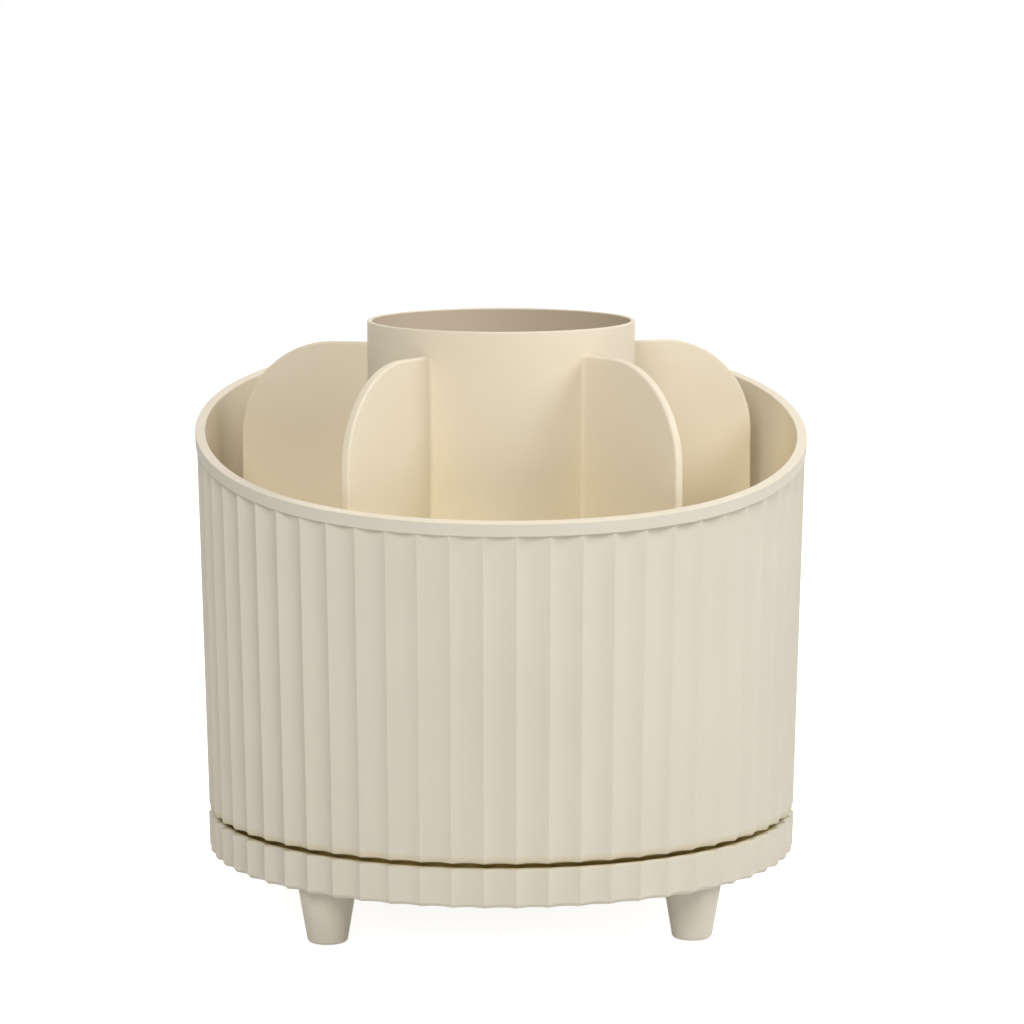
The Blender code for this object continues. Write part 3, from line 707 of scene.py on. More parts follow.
def new_material(name, colour_values, roughness, metallic=0.0):
    material = bpy.data.materials.new(name)
    material.use_nodes = True
    material.diffuse_color = (*colour_values, 1)
    tree = material.node_tree
    shader = tree.nodes["Principled BSDF"]
    plain = {"Base Color": (*colour_values, 1), "Roughness": roughness, "Metallic": metallic}
    set_inputs(tree, shader, plain)
    return material, tree, shader


def object_place(tree):
    return add_node(tree, "ShaderNodeTexCoord").outputs["Object"]


def attribute_value(tree, name):
    return add_node(tree, "ShaderNodeAttribute", attribute_name=name).outputs["Fac"]


def object_noise(tree, scale, detail=2.0):
    """Noise that stays on the piece, with features of about one over scale, in metres."""
    noise = add_node(tree, "ShaderNodeTexNoise", object_place(tree), noise_dimensions="3D")
    set_inputs(tree, noise, {"Scale": scale, "Detail": detail})
    return noise.outputs["Fac"]


def spread(tree, value, low=0.0, high=1.0):
    """Maps a noise's middle range onto low to high."""
    return output(tree, "ShaderNodeMapRange", value, 0.3, 0.7, low, high)


def blended(tree, blend, factor, first, second):
    """The output of a Mix node for colours."""
    return output(
        tree, "ShaderNodeMix", factor, first, second, data_type="RGBA", blend_type=blend
    )


def clouded(tree, shader, colour_values, shade, scale):
    """Clouds a plain colour with a darker shade of it."""
    cloud = spread(tree, object_noise(tree, scale))
    darker = tuple(value * shade for value in colour_values)
    mixed = blended(tree, "MIX", cloud, (*colour_values, 1), (*darker, 1))
    set_inputs(tree, shader, {"Base Color": mixed})


def bumped(tree, shader, height, strength, distance):
    bump = add_node(tree, "ShaderNodeBump")
    set_inputs(tree, bump, {"Strength": strength, "Distance": distance, "Height": height})
    set_inputs(tree, shader, {"Normal": bump.outputs["Normal"]})


def moulded_plastic(name, deep, outer, inner, rim, roughness):
    """Satin moulded plastic: cloudy colour, patchy gloss, a fine eroded grain, smoother arrises.

    Its tone attribute paints light and shade: the colour runs from painted shade (deep) over the
    own colour (outer) and a painted inside tone (inner) to a painted highlight (rim).
    """
    material, tree, shader = new_material(name, outer, roughness)
    # Tones from -1 to 1 fill the ramp from 0 to 1
    tone = calc(tree, "MULTIPLY_ADD", attribute_value(tree, "tone"), 0.5, 0.5)
    ramp = add_node(tree, "ShaderNodeValToRGB", tone)
    stops = ramp.color_ramp.elements
    # Stops for painted shade, the own colour, the painted inside tone and the painted highlight
    stops[0].color = (*deep, 1)
    stops[1].color = (*rim, 1)
    stops.new(0.5).color = (*outer, 1)
    stops.new(0.5 + PAINTED_INSIDE_TONE / 2).color = (*inner, 1)
    cloud = spread(tree, object_noise(tree, scale=22.0, detail=3.0))
    shade = (0.965, 0.965, 0.965, 1)
    patchy = spread(tree, object_noise(tree, scale=140.0), roughness - 0.04, roughness + 0.05)
    smoother = calc(tree, "MULTIPLY_ADD", attribute_value(tree, "arris"), -0.06, patchy)
    looks = {
        "Base Color": blended(tree, "MULTIPLY", cloud, ramp.outputs["Color"], shade),
        "Roughness": smoother,
        "Specular IOR Level": 0.2,
    }
    set_inputs(tree, shader, looks)
    grain = object_noise(tree, scale=2600.0, detail=1.0)
    bumped(tree, shader, grain, strength=0.10, distance=0.00004)
    return material


def insert_plastic(name, outer, inner, roughness):
    """Moulded plastic with painted bounce light at the insert's foot, darker towards its top."""
    # The inside of the cup takes the painted shade colour, the highlight stop the plain colour
    material = moulded_plastic(name, inner, outer, inner, outer, roughness)
    tree = material.node_tree
    base = tree.nodes["Principled BSDF"].inputs["Base Color"]
    height = add_node(tree, "ShaderNodeSeparateXYZ", object_place(tree)).outputs["Z"]
    # Painted shade darkens the insert towards its top and leaves its foot paler
    start, end = INSERT_BOX[1].z - 0.065, INSERT_BOX[1].z - 0.020
    climb = output(tree, "ShaderNodeMapRange", height, start, end)
    painted_shade_upwards = (0.940, 0.945, 0.995, 1)
    connect(tree, blended(tree, "MULTIPLY", climb, base.links[0].from_socket, painted_shade_upwards), base)
    return material


def slippery_plastic(name, colour_values):
    """Natural bearing plastic, a little waxy."""
    material, tree, shader = new_material(name, colour_values, roughness=0.33)
    waxy = {"Subsurface Weight": 0.15, "Subsurface Radius": (0.0012, 0.0010, 0.0008)}
    set_inputs(tree, shader, waxy)
    clouded(tree, shader, colour_values, shade=0.95, scale=60.0)
    grain = object_noise(tree, scale=1500.0, detail=1.0)
    bumped(tree, shader, grain, strength=0.08, distance=0.00003)
    return material


def turned_steel(name, colour_values, roughness):
    """Plated steel with fine turning marks round the axis."""
    material, tree, shader = new_material(name, colour_values, roughness, metallic=1.0)
    place = object_place(tree)
    rings = add_node(tree, "ShaderNodeTexWave", place, wave_type="RINGS", rings_direction="Z")
    set_inputs(tree, rings, {"Scale": 900.0, "Distortion": 1.5})
    bumped(tree, shader, rings.outputs["Fac"], strength=0.12, distance=0.00002)
    patchy = spread(tree, object_noise(tree, scale=300.0), roughness - 0.05, roughness + 0.08)
    set_inputs(tree, shader, {"Roughness": patchy})
    return material


def polished_steel(name, colour_values):
    """Bearing balls: near mirror, with a faint film of grease."""
    material, tree, shader = new_material(name, colour_values, roughness=0.12, metallic=1.0)
    film = spread(tree, object_noise(tree, scale=400.0), 0.06, 0.2)
    set_inputs(tree, shader, {"Roughness": film})
    return material


def soft_rubber(name, colour_values):
    """Matt rubber with a dusty, pebbled skin."""
    material, tree, shader = new_material(name, colour_values, roughness=0.8)
    set_inputs(tree, shader, {"Specular IOR Level": 0.3})
    clouded(tree, shader, colour_values, shade=0.8, scale=500.0)
    pebbles = object_noise(tree, scale=2200.0, detail=3.0)
    bumped(tree, shader, pebbles, strength=0.35, distance=0.00008)
    return material


def finish_named(name):
    """A finish by its name, made the first time that it is asked for."""
    found = bpy.data.materials.get(name)
    if found is not None:
        return found
    finishes = bpy.context.scene.brush_holder.finishes
    creams = (finishes.gap_painted_shade, finishes.cream, finishes.inner_painted_light, finishes.rim_painted_highlight)
    # Each maker with its colours and its roughness
    makers = {
        "cream_moulding": (moulded_plastic, *creams, 0.52),
        "insert_moulding": (insert_plastic, finishes.insert_cream, finishes.cup_painted_shade, 0.50),
        "bearing_moulding": (slippery_plastic, finishes.bearing_white),
        "turned_steel": (turned_steel, finishes.steel, 0.28),
        "polished_steel": (polished_steel, finishes.steel),
        "pad_rubber": (soft_rubber, finishes.rubber),
    }
    maker, *settings = makers[name]
    return maker(name, *settings)


# Sections


def arris_radius(height):
    flutes = bpy.context.scene.brush_holder.flutes
    return flutes.arris_radius + (height - TRAY_BOX[0].z) * tan(flutes.draft)


def groove(height, direction, steps=10):
    """Corners of a ball track's groove, from its outer edge to its inner one."""
    bearing = bpy.context.scene.brush_holder.bearing
    cut = BALL_RADIUS + bearing.ball_gap
    sunk = cut - bearing.groove_depth
    half = (cut**2 - sunk**2) ** 0.5
    corners = []
    for step in range(steps + 1):
        offset = half * (1 - 2 * step / steps)
        rise = (cut**2 - offset**2) ** 0.5 - sunk
        corners.append(Corner(bearing.ball_circle + offset, height + direction * rise))
    return corners


def drum_section():
    """The whole drum moulding: wall, band, rim, floor, locating ring, hub and ball track."""
    holder = bpy.context.scene.brush_holder
    drum, bearing = holder.drum, holder.bearing
    bottom = TRAY_BOX[0].z + holder.tray.height + drum.gap
    lip = bottom + drum.lip
    rim = DRUM_BOX[1].z - drum.rim_rise + drum.rim_ease
    rim_outer = arris_radius(rim) + drum.band_proud
    rim_inner = arris_radius(rim) - drum.wall
    band = rim - drum.band_height
    under = bottom + drum.skirt
    floor = under + drum.floor
    ring_top = floor + drum.locating_height
    ring_inner = drum.locating_radius - drum.locating_wall
    hub_bore = bearing.post_radius + bearing.run_gap + bearing.bush_wall + bearing.seat_gap
    hub_bottom = DRUM_BOX[0].z
    hub = hub_bore + drum.hub_wall
    track = BALL_BOX[1].z + bearing.ball_gap - bearing.groove_depth
    track_out = bearing.ball_circle + bearing.track_width / 2
    track_in = track_out - bearing.track_width
    soft = drum.soft_edge
    corners = [
        # Painted shade on the lip above the gap
        Corner(arris_radius(bottom), bottom, drum.bottom_edge, 1.0, tone=PAINTED_LIP_SHADE),
        Corner(arris_radius(lip), lip, 0.0, 1.0),
        Corner(arris_radius(band), band, 0.0, 1.0, 1.0),
        Corner(arris_radius(band) + drum.band_proud, band, drum.band_lip, 0.0, 1.0),
        # Painted highlight on top of the rim, and painted bounce light inside the drum
        Corner(rim_outer, rim, drum.band_edge, 0.0, 1.0, PAINTED_RIM_HIGHLIGHT),
        Corner(rim_inner, rim, drum.band_edge, 0.0, rim_inner / rim_outer, PAINTED_INSIDE_TONE),
        Corner(arris_radius(floor) - drum.wall, floor, drum.fillet, tone=PAINTED_INSIDE_TONE),
        Corner(drum.locating_radius, floor, soft, tone=PAINTED_INSIDE_TONE),
        Corner(drum.locating_radius, ring_top, 2 * soft, tone=PAINTED_INSIDE_TONE),
        Corner(ring_inner, ring_top, 2 * soft, tone=PAINTED_INSIDE_TONE),
        Corner(ring_inner, floor, soft, tone=PAINTED_INSIDE_TONE),
        Corner(hub_bore, floor, soft),
        Corner(hub_bore, hub_bottom, soft),
        Corner(hub, hub_bottom, soft),
        Corner(hub, under, soft),
        Corner(track_in, under, soft),
        Corner(track_in, track, soft),
        *groove(track, 1)[::-1],
        Corner(track_out, track, soft),
        # Painted dark shade under the drum, inside the gap
        Corner(track_out, under, soft, tone=PAINTED_GAP_SHADE),
        Corner(arris_radius(bottom) - drum.skirt_wall, under, soft, tone=PAINTED_GAP_SHADE),
        Corner(arris_radius(bottom) - drum.skirt_wall, bottom, soft),
    ]
    return rounded(corners, steps=5)


def tray_section():
    """The whole tray moulding: fluted wall, floor, ball track, bored post and recess below."""
    holder = bpy.context.scene.brush_holder
    tray, bearing = holder.tray, holder.bearing
    bottom = TRAY_BOX[0].z
    top = bottom + tray.height
    under = bottom + tray.lip
    floor = under + tray.floor
    recess = under + tray.recess
    track = floor + bearing.track_height
    track_out = bearing.ball_circle + bearing.track_width / 2
    track_in = track_out - bearing.track_width
    post_top = TRAY_BOX[1].z
    bore = bearing.screw_bore
    bore_bottom = PIVOT_SCREW_BOX[0].z - bearing.tip_gap
    soft = tray.soft_edge
    wall = arris_radius(bottom) - tray.wall
    drum_bottom = top + holder.drum.gap
    shield = arris_radius(drum_bottom) - holder.drum.wall - tray.shield_gap
    shield_top = drum_bottom + tray.shield_rise
    corners = [
        Corner(arris_radius(bottom) + tray.proud - tray.bevel, bottom, soft, 1.0),
        Corner(arris_radius(bottom) + tray.proud, bottom + tray.bevel, soft, 1.0),
        # Painted shade on the lip below the gap, and painted dark shade inside the gap round the
        # shield ring
        Corner(arris_radius(top) + tray.proud, top, tray.top_edge, 1.0, tone=PAINTED_LIP_SHADE),
        Corner(arris_radius(top) - tray.wall, top, tray.top_edge, tone=PAINTED_GAP_SHADE),
        Corner(arris_radius(floor) - tray.wall, floor, 2 * soft, tone=PAINTED_GAP_SHADE),
        Corner(shield, floor, 2 * soft, tone=PAINTED_GAP_SHADE),
        Corner(shield, shield_top, soft, tone=PAINTED_GAP_SHADE),
        Corner(shield - tray.shield_wall, shield_top, soft),
        Corner(shield - tray.shield_wall, floor, 2 * soft),
        Corner(track_out, floor, soft),
        Corner(track_out, track, soft),
        *groove(track, -1),
        Corner(track_in, track, soft),
        Corner(track_in, floor, soft),
        Corner(bearing.post_radius + tray.post_flare, floor, soft),
        Corner(bearing.post_radius, floor + tray.post_flare, 3 * soft),
        Corner(bearing.post_radius, post_top, soft),
        Corner(bore, post_top, soft),
        Corner(bore, bore_bottom),
        Corner(0.0, bore_bottom),
        Corner(0.0, recess),
        Corner(tray.recess_radius, recess, soft),
        Corner(tray.recess_radius, under, soft),
        Corner(wall, under, soft),
        Corner(wall, bottom, soft),
    ]
    return rounded(corners, steps=4)


def cup_outer(height):
    insert = bpy.context.scene.brush_holder.insert
    return insert.cup_radius - (INSERT_BOX[1].z - height) * tan(insert.cup_draft)


def cup_inner(height):
    return cup_outer(height) - bpy.context.scene.brush_holder.insert.cup_wall


# Operators, one for each piece or group of like pieces


class HOLDER_OT_drum(bpy.types.Operator):
    """Make the fluted drum with its slanted rim"""

    bl_idname = "holder.drum"
    bl_label = "Drum"

    def execute(self, context):
        holder = context.scene.brush_holder
        cream = finish_named("cream_moulding")
        mesh = fluted_shell(
            "drum_shell", drum_section(), cream, holder.drum.rim_rise, holder.drum.rim_ease
        )
        add_piece("drum_shell", mesh, cream, "turning_drum", "cream_plastic", "drum")
        return {"FINISHED"}


class HOLDER_OT_guides(bpy.types.Operator):
    """Make the low ribs on the drum's floor that hold the dividers' toes"""

    bl_idname = "holder.guides"
    bl_label = "Divider Guides"

    def execute(self, context):
        holder = context.scene.brush_holder
        drum, insert = holder.drum, holder.insert
        cream = finish_named("cream_moulding")
        floor = INSERT_BOX[0].z - holder.bearing.seat_gap
        outer = insert.panel_reach - insert.panel_toe
        inner = outer - drum.guide_length
        top = floor + drum.guide_height
        bend = drum.guide_width / 2
        outline = [(inner, floor - LAP), (outer, floor - LAP)]
        outline += arc_points((outer - bend, top - bend), bend, 0, 90, 6)
        outline += arc_points((inner + bend, top - bend), bend, 90, 180, 6)
        side = insert.panel_thickness / 2 + drum.guide_gap + drum.guide_width / 2
        pair = bmesh.new()
        for direction in (-1, 1):
            single = upright(plate("guide", outline, drum.guide_width, drum.soft_edge))
            single.transform(Matrix.Translation((direction * side, 0, 0)))
            pair.from_mesh(single)
        both = new_mesh("divider_guides", pair)
        mesh = copies("divider_guides", both, insert.panel_count, cream, between=True)
        # Painted bounce light, as inside the drum
        store(mesh, "tone", [PAINTED_INSIDE_TONE] * len(mesh.vertices))
        add_piece("divider_guides", mesh, cream, "turning_drum", "cream_plastic")
        return {"FINISHED"}


class HOLDER_OT_insert(bpy.types.Operator):
    """Make the lift-out brush cup with its dividers"""

    bl_idname = "holder.insert"
    bl_label = "Divider Insert"

    def execute(self, context):
        insert = context.scene.brush_holder.insert
        cream = finish_named("insert_moulding")
        added = []
        for name, single in (("panels", self.panel(insert)), ("webs", self.web(insert))):
            made = copies(name, single, insert.panel_count, cream, between=True)
            added.append(cleaned(made))
        mesh = combined("brush_cup", self.cup(insert), "UNION", *added)
        self.paint_shade_inside(insert, mesh)
        add_piece("brush_cup", mesh, cream, "insert", "insert_plastic", "divider_insert")
        return {"FINISHED"}

    def paint_shade_inside(self, insert, mesh):
        """Paints shade on the inside of the cup, below its rounded edge, with the inside tone."""
        floor = INSERT_BOX[0].z + insert.cup_floor_height + insert.cup_floor
        highest = INSERT_BOX[1].z - insert.cup_edge / 2
        tones = []
        for vert in mesh.vertices:
            wall = cup_inner(vert.co.z) + MERGE_DISTANCE
            level = floor - MERGE_DISTANCE < vert.co.z < highest
            tones.append(PAINTED_INSIDE_TONE if level and vert.co.xy.length < wall else 0.0)
        store(mesh, "tone", tones)

    def cup(self, insert):
        bottom, top = INSERT_BOX[0].z, INSERT_BOX[1].z
        under = bottom + insert.cup_floor_height
        floor = under + insert.cup_floor
        corners = [
            Corner(0.0, floor),
            Corner(cup_inner(floor), floor, insert.floor_fillet),
            Corner(cup_inner(top), top, insert.cup_edge),
            Corner(cup_outer(top), top, insert.cup_edge),
            Corner(cup_outer(bottom), bottom, insert.panel_edge),
            Corner(cup_inner(bottom), bottom, insert.panel_edge),
            Corner(cup_inner(under), under, insert.panel_edge),
            Corner(0.0, under),
        ]
        return cleaned(turned("cup", corners, steps=160, arc_steps=5))

    def panel(self, insert):
        """A divider, whose root ends inside the cup's wall."""
        bottom = INSERT_BOX[0].z
        top = bottom + insert.panel_height
        root = cup_outer(bottom) - insert.cup_wall / 4
        toe, corner, reach = insert.panel_toe, insert.panel_corner, insert.panel_reach
        outline = [(root, bottom)]
        outline += arc_points((reach - toe, bottom + toe), toe, -90, 0, 8)
        outline += arc_points((reach - corner, top - corner), corner, 0, 90, 28)
        outline += [(root, top)]
        return upright(plate("panel", outline, insert.panel_thickness, insert.panel_edge))

    def web(self, insert):
        """The fillets between a divider and the cup, as one upright prism that leans with it."""
        bottom = INSERT_BOX[0].z + insert.panel_edge
        top = INSERT_BOX[0].z + insert.panel_height - insert.panel_edge
        cup = cup_outer(top)
        fillet = insert.web_fillet
        across = insert.panel_thickness / 2 + fillet
        away = ((cup + fillet) ** 2 - across**2) ** 0.5
        touch = across * cup / (cup + fillet), away * cup / (cup + fillet)
        meet = degrees(atan2(away, -across))
        right = arc_points((across, -away), fillet, 180, meet, 8)
        outline = [(0.0, -(cup - LAP)), (touch[0] - LAP / 2, -(touch[1] - LAP))]
        outline += right[::-1]
        outline += [(-x, y) for x, y in right]
        outline += [(-(touch[0] - LAP / 2), -(touch[1] - LAP))]
        mesh = plate("web", outline, top - bottom, 0)
        mesh.transform(Matrix.Translation((0, 0, (bottom + top) / 2)))
        for vert in mesh.vertices:
            vert.co.y += (top - vert.co.z) * tan(insert.cup_draft)
        return mesh


class HOLDER_OT_tray(bpy.types.Operator):
    """Make the fluted base tray with its post and ball track"""

    bl_idname = "holder.tray"
    bl_label = "Base Tray"

    def execute(self, context):
        holder = context.scene.brush_holder
        tray = holder.tray
        cream = finish_named("cream_moulding")
        mesh = fluted_shell("tray_shell", tray_section(), cream)
        add_piece("tray_shell", mesh, cream, "base", "cream_plastic", "base_tray")
        under = TRAY_BOX[0].z + tray.lip + tray.recess
        low = under - tray.rib_depth
        inner = holder.bearing.post_radius + tray.post_flare
        outer = tray.recess_radius + LAP
        outline = [(inner, under + LAP), (inner, low), (outer, low), (outer, under + LAP)]
        rib = upright(plate("rib", outline, tray.rib_width, tray.soft_edge))
        ribs = copies("tray_ribs", rib, tray.rib_count, cream)
        add_piece("tray_ribs", ribs, cream, "base", "cream_plastic")
        return {"FINISHED"}


class HOLDER_OT_feet(bpy.types.Operator):
    """Make the round tapered feet"""

    bl_idname = "holder.feet"
    bl_label = "Feet"

    def execute(self, context):
        feet = context.scene.brush_holder.feet
        cream = finish_named("cream_moulding")
        bottom, top = FOOT_BOX[0].z, FOOT_BOX[1].z
        recess = PAD_RADIUS + feet.pad_gap
        recess_top = PAD_BOX[1].z + feet.pad_gap
        corners = [
            Corner(0.0, top),
            Corner(feet.top_radius, top),
            Corner(feet.top_radius, TRAY_BOX[0].z),
            Corner(feet.bottom_radius, bottom, feet.edge),
            Corner(recess, bottom, feet.pad_edge),
            Corner(recess, recess_top),
            Corner(0.0, recess_top),
        ]
        foot = turned("foot", corners, steps=64, arc_steps=6)
        add_at_feet("feet", foot, cream, "cream_plastic", "foot")
        return {"FINISHED"}


class HOLDER_OT_pads(bpy.types.Operator):
    """Make the rubber pads under the feet"""

    bl_idname = "holder.pads"
    bl_label = "Foot Pads"

    def execute(self, context):
        edge = context.scene.brush_holder.feet.pad_edge
        bottom, top = PAD_BOX[0].z, PAD_BOX[1].z
        corners = [
            Corner(0.0, top),
            Corner(PAD_RADIUS, top),
            Corner(PAD_RADIUS, bottom, edge),
            Corner(0.0, bottom),
        ]
        pad = turned("pad", corners, steps=48)
        add_at_feet("foot_pads", pad, finish_named("pad_rubber"), "rubber", "foot_pad")
        return {"FINISHED"}


class HOLDER_OT_screws(bpy.types.Operator):
    """Make the pivot screw and the screws that hold the feet"""

    bl_idname = "holder.screws"
    bl_label = "Screws"

    def execute(self, context):
        bearing = context.scene.brush_holder.bearing
        steel = finish_named("turned_steel")
        shank, head = bearing.pivot_shank, bearing.pivot_head
        pivot = self.screw("pivot_screw_head", PIVOT_SCREW_BOX, shank, head)
        add_piece("pivot_screw_head", pivot, steel, "base", "steel", "pivot_screw")
        shank, head = bearing.foot_shank, bearing.foot_head
        single = self.screw("foot_screw", FOOT_SCREW_BOX, shank, head)
        add_at_feet("foot_screws", single, steel, "steel", "foot_screw")
        return {"FINISHED"}

    def screw(self, name, box, shank, head_height):
        """A pan-head screw with a cross recess, upright on the axis, in its node's box."""
        top, bottom = box[1].z, box[0].z
        head = (box[1].x - box[0].x) / 2
        seat = top - head_height
        crown, brim = head_height * 0.7, head_height * 0.1
        corners = [
            Corner(0.0, top),
            Corner(head, top, crown),
            Corner(head, seat, brim),
            Corner(shank, seat),
            Corner(shank, bottom + shank),
            Corner(0.0, bottom),
        ]
        body = cleaned(turned(name, corners, steps=48, arc_steps=6))
        span, width = head * 1.1, head * 0.26
        slots = []
        for x, y in ((span, width), (width, span)):
            block = Matrix.Diagonal((x, y, head_height, 1))
            slots.append(primitive("slot", "cube", (0, 0, top), size=1, matrix=block))
        return combined(name, body, "DIFFERENCE", *slots)


class HOLDER_OT_pivot(bpy.types.Operator):
    """Make the pivot's bush and washer"""

    bl_idname = "holder.pivot"
    bl_label = "Bush and Washer"

    def execute(self, context):
        bearing = context.scene.brush_holder.bearing
        bore = bearing.post_radius + bearing.run_gap
        outer = bore + bearing.bush_wall
        flange = BUSH_BOX[1].x
        low, high = BUSH_BOX[0].z, BUSH_BOX[1].z
        edge = bearing.edge
        corners = [
            Corner(flange, high, edge),
            Corner(flange, high - bearing.flange, edge),
            Corner(outer, high - bearing.flange, edge),
            Corner(outer, low, edge),
            Corner(bore, low, edge),
            Corner(bore, high, edge),
        ]
        bush = turned("bush", corners, steps=96, closed=True)
        white = finish_named("bearing_moulding")
        add_piece("bush", bush, white, "turning_drum", "bearing_plastic", "pivot_bush")
        radius = WASHER_BOX[1].x
        low, high = WASHER_BOX[0].z, WASHER_BOX[1].z
        corners = [
            Corner(radius, high, edge),
            Corner(radius, low, edge),
            Corner(bearing.screw_bore, low),
            Corner(bearing.screw_bore, high, edge),
        ]
        washer = turned("washer", corners, steps=96, closed=True)
        add_piece("washer", washer, finish_named("turned_steel"), "base", "steel", "pivot_washer")
        return {"FINISHED"}


class HOLDER_OT_balls(bpy.types.Operator):
    """Make the ring of steel balls"""

    bl_idname = "holder.balls"
    bl_label = "Balls"

    def execute(self, context):
        bearing = context.scene.brush_holder.bearing
        steel = finish_named("polished_steel")
        place = (0, -bearing.ball_circle, (BALL_BOX[1].z + BALL_BOX[0].z) / 2)
        ball = primitive(
            "ball", "uvsphere", place, u_segments=32, v_segments=16, radius=BALL_RADIUS
        )
        mesh = copies("bearing_balls", ball, bearing.ball_count, steel)
        names = numbered("ball", bearing.ball_count, digits=2)
        add_piece("bearing_balls", mesh, steel, "bearing", "steel", *names)
        return {"FINISHED"}


class HOLDER_OT_cage(bpy.types.Operator):
    """Make the flat cage that keeps the balls apart"""

    bl_idname = "holder.cage"
    bl_label = "Ball Cage"

    def execute(self, context):
        bearing = context.scene.brush_holder.bearing
        white = finish_named("bearing_moulding")
        outer = CAGE_BOX[1].x
        inner = 2 * bearing.ball_circle - outer
        low, high = CAGE_BOX[0].z, CAGE_BOX[1].z
        outline = ((outer, high), (outer, low), (inner, low), (inner, high))
        corners = [Corner(radius, height, bearing.edge) for radius, height in outline]
        ring = cleaned(turned("cage", corners, steps=144, closed=True))
        radius = BALL_RADIUS + bearing.ball_gap
        pocket = primitive(
            "pocket",
            "cone",
            (0, -bearing.ball_circle, (low + high) / 2),
            cap_ends=True,
            segments=32,
            radius1=radius,
            radius2=radius,
            depth=high - low + 2 * OVERRUN,
        )
        pockets = copies("pockets", pocket, bearing.ball_count, white)
        mesh = combined("cage_ring", ring, "DIFFERENCE", pockets)
        add_piece("cage_ring", mesh, white, "bearing", "bearing_plastic", "ball_cage")
        return {"FINISHED"}


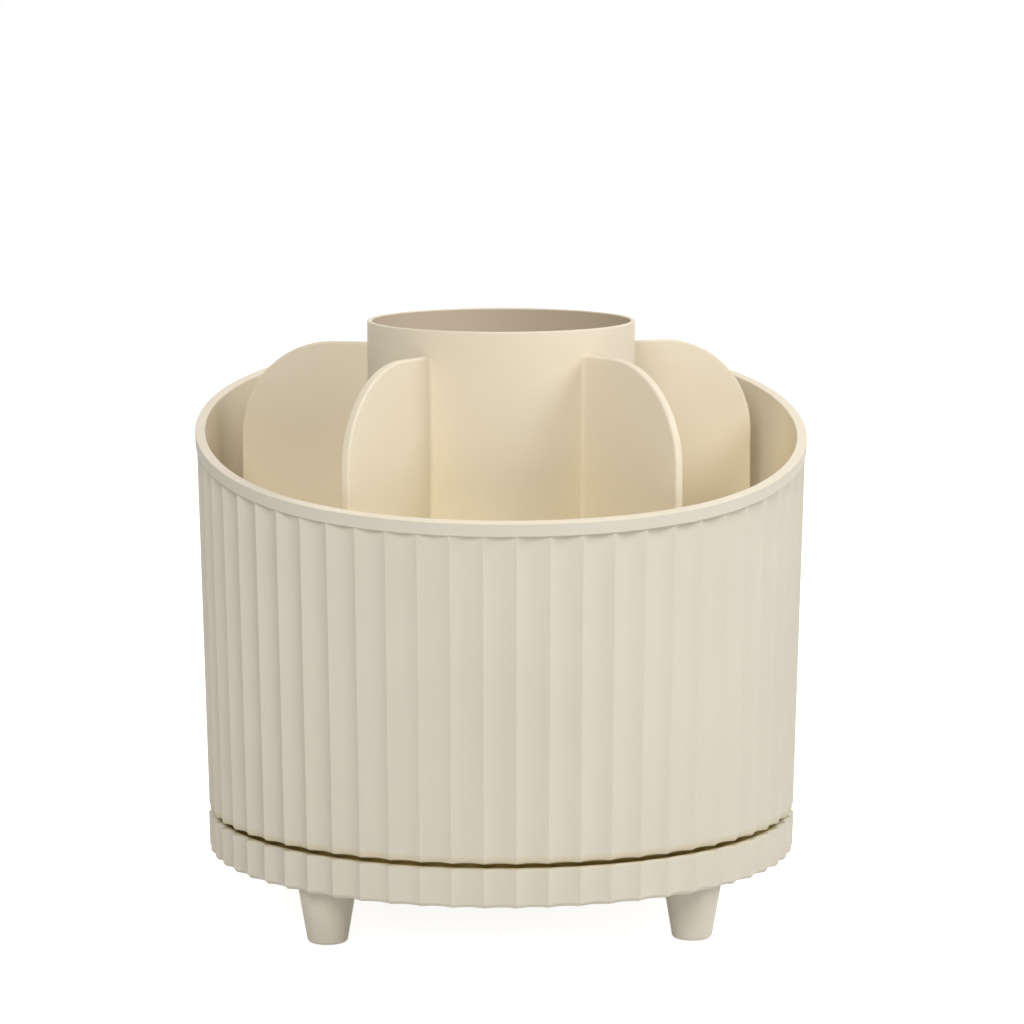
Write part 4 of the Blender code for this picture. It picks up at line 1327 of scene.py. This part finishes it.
class HOLDER_OT_stage(bpy.types.Operator):
    """Set the floor, the soft lamps and the camera"""

    bl_idname = "holder.stage"
    bl_label = "Stage"

    def execute(self, context):
        studio = context.scene.brush_holder.studio
        self.add_floor(studio)
        self.add_world(context.scene, studio)
        white = (1.0, 1.0, 1.0)
        warm = (1.0, 0.985, 0.955)
        # Name, watts, azimuth in degrees from the front round to the right, rise and colour
        lamps = (
            ("front", studio.front_power, -15, studio.lamp_rise, warm),
            ("key", studio.key_power, 75, studio.lamp_rise, white),
            ("rear", studio.rear_power, 105, studio.lamp_rise, white),
            ("back", studio.back_power, -150, studio.lamp_rise, white),
            ("top", studio.top_power, 180, studio.top_rise, white),
        )
        for lamp in lamps:
            self.add_lamp(studio, *lamp)
        self.add_camera(context.scene, studio)
        context.scene.view_settings.view_transform = "Standard"
        return {"FINISHED"}

    def add_floor(self, studio):
        half = studio.floor_half
        mesh = primitive("floor", "grid", (0, 0, 0), x_segments=1, y_segments=1, size=half)
        floor = linked("floor", mesh)
        material, tree, shader = new_material("floor_paper", [PAPER] * 3, roughness=0.9)
        strength = calc(tree, "MULTIPLY", self.viewed(tree), PAPER)
        glow = output(tree, "ShaderNodeEmission", (1, 1, 1, 1), strength)
        paper = output(tree, "ShaderNodeAddShader", shader.outputs[0], glow)
        set_inputs(tree, tree.nodes["Material Output"], {"Surface": paper})
        mesh.materials.append(material)

    def viewed(self, tree):
        """1 for camera, glossy and transmission rays."""
        path = add_node(tree, "ShaderNodeLightPath").outputs
        views = calc(tree, "MAXIMUM", path["Is Camera Ray"], path["Is Glossy Ray"])
        return calc(tree, "MAXIMUM", views, path["Is Transmission Ray"])

    def add_world(self, scene, studio):
        world = bpy.data.worlds.new("studio")
        scene.world = world
        world.use_nodes = True
        tree = world.node_tree
        white = calc(tree, "MULTIPLY", self.viewed(tree), 1 - studio.world_strength)
        strength = calc(tree, "ADD", white, studio.world_strength)
        set_inputs(tree, tree.nodes["Background"], {"Color": (1, 1, 1, 1), "Strength": strength})

    def add_lamp(self, studio, name, power, azimuth, rise, tint):
        """A round soft lamp that points at the object's middle."""
        lamp = bpy.data.lights.new(name, "AREA")
        lamp.energy = power
        lamp.color = tint
        lamp.shape = "DISK"
        lamp.size = studio.lamp_size
        holder = linked(name, lamp)
        middle = Vector((0, 0, (CAD_BOX[0].z + CAD_BOX[1].z) / 2))
        level = studio.lamp_distance * cos(rise)
        up = studio.lamp_distance * sin(rise)
        turn = radians(azimuth)
        holder.location = middle + Vector((level * sin(turn), -level * cos(turn), up))
        aim = middle - holder.location
        holder.rotation_euler = aim.to_track_quat("-Z", "Y").to_euler()

    def add_camera(self, scene, studio):
        camera = bpy.data.cameras.new("camera")
        camera.lens = studio.lens
        camera.clip_start = 0.05
        camera.clip_end = 4 * studio.floor_half
        holder = linked("camera", camera)
        place = Vector((studio.side, -studio.distance, studio.height))
        holder.location = Matrix.Rotation(studio.turn, 3, "Z") @ place
        holder.rotation_euler = (pi / 2 - studio.pitch, 0, studio.turn)
        scene.camera = holder


OPERATORS = (
    HOLDER_OT_drum,
    HOLDER_OT_guides,
    HOLDER_OT_insert,
    HOLDER_OT_tray,
    HOLDER_OT_feet,
    HOLDER_OT_pads,
    HOLDER_OT_screws,
    HOLDER_OT_pivot,
    HOLDER_OT_balls,
    HOLDER_OT_cage,
    HOLDER_OT_stage,
)


class HOLDER_PT_sidebar(bpy.types.Panel):
    """Lists the operators and their sizes"""

    bl_label = "Brush Holder"
    bl_idname = "HOLDER_PT_sidebar"
    bl_space_type = "VIEW_3D"
    bl_region_type = "UI"
    bl_category = "Brush Holder"

    def draw(self, context):
        layout = self.layout
        for operator in OPERATORS:
            layout.operator(operator.bl_idname)
        for group in HolderSettings.__annotations__:
            box = layout.box()
            box.label(text=group.capitalize())
            settings = getattr(context.scene.brush_holder, group)
            for name in settings.__annotations__:
                box.prop(settings, name)


SIZES = (FluteSizes, DrumSizes, TraySizes, InsertSizes, FootSizes, BearingSizes)
CLASSES = (*SIZES, Finishes, StudioSettings, HolderSettings, *OPERATORS, HOLDER_PT_sidebar)


def register():
    for item in CLASSES:
        bpy.utils.register_class(item)
    bpy.types.Scene.brush_holder = PointerProperty(type=HolderSettings)


def unregister():
    del bpy.types.Scene.brush_holder
    for item in reversed(CLASSES):
        bpy.utils.unregister_class(item)


def main():
    register()
    bpy.ops.holder.drum()
    bpy.ops.holder.guides()
    bpy.ops.holder.insert()
    bpy.ops.holder.tray()
    bpy.ops.holder.feet()
    bpy.ops.holder.pads()
    bpy.ops.holder.screws()
    bpy.ops.holder.pivot()
    bpy.ops.holder.balls()
    bpy.ops.holder.cage()
    bpy.ops.holder.stage()


if __name__ == "__main__":
    main()
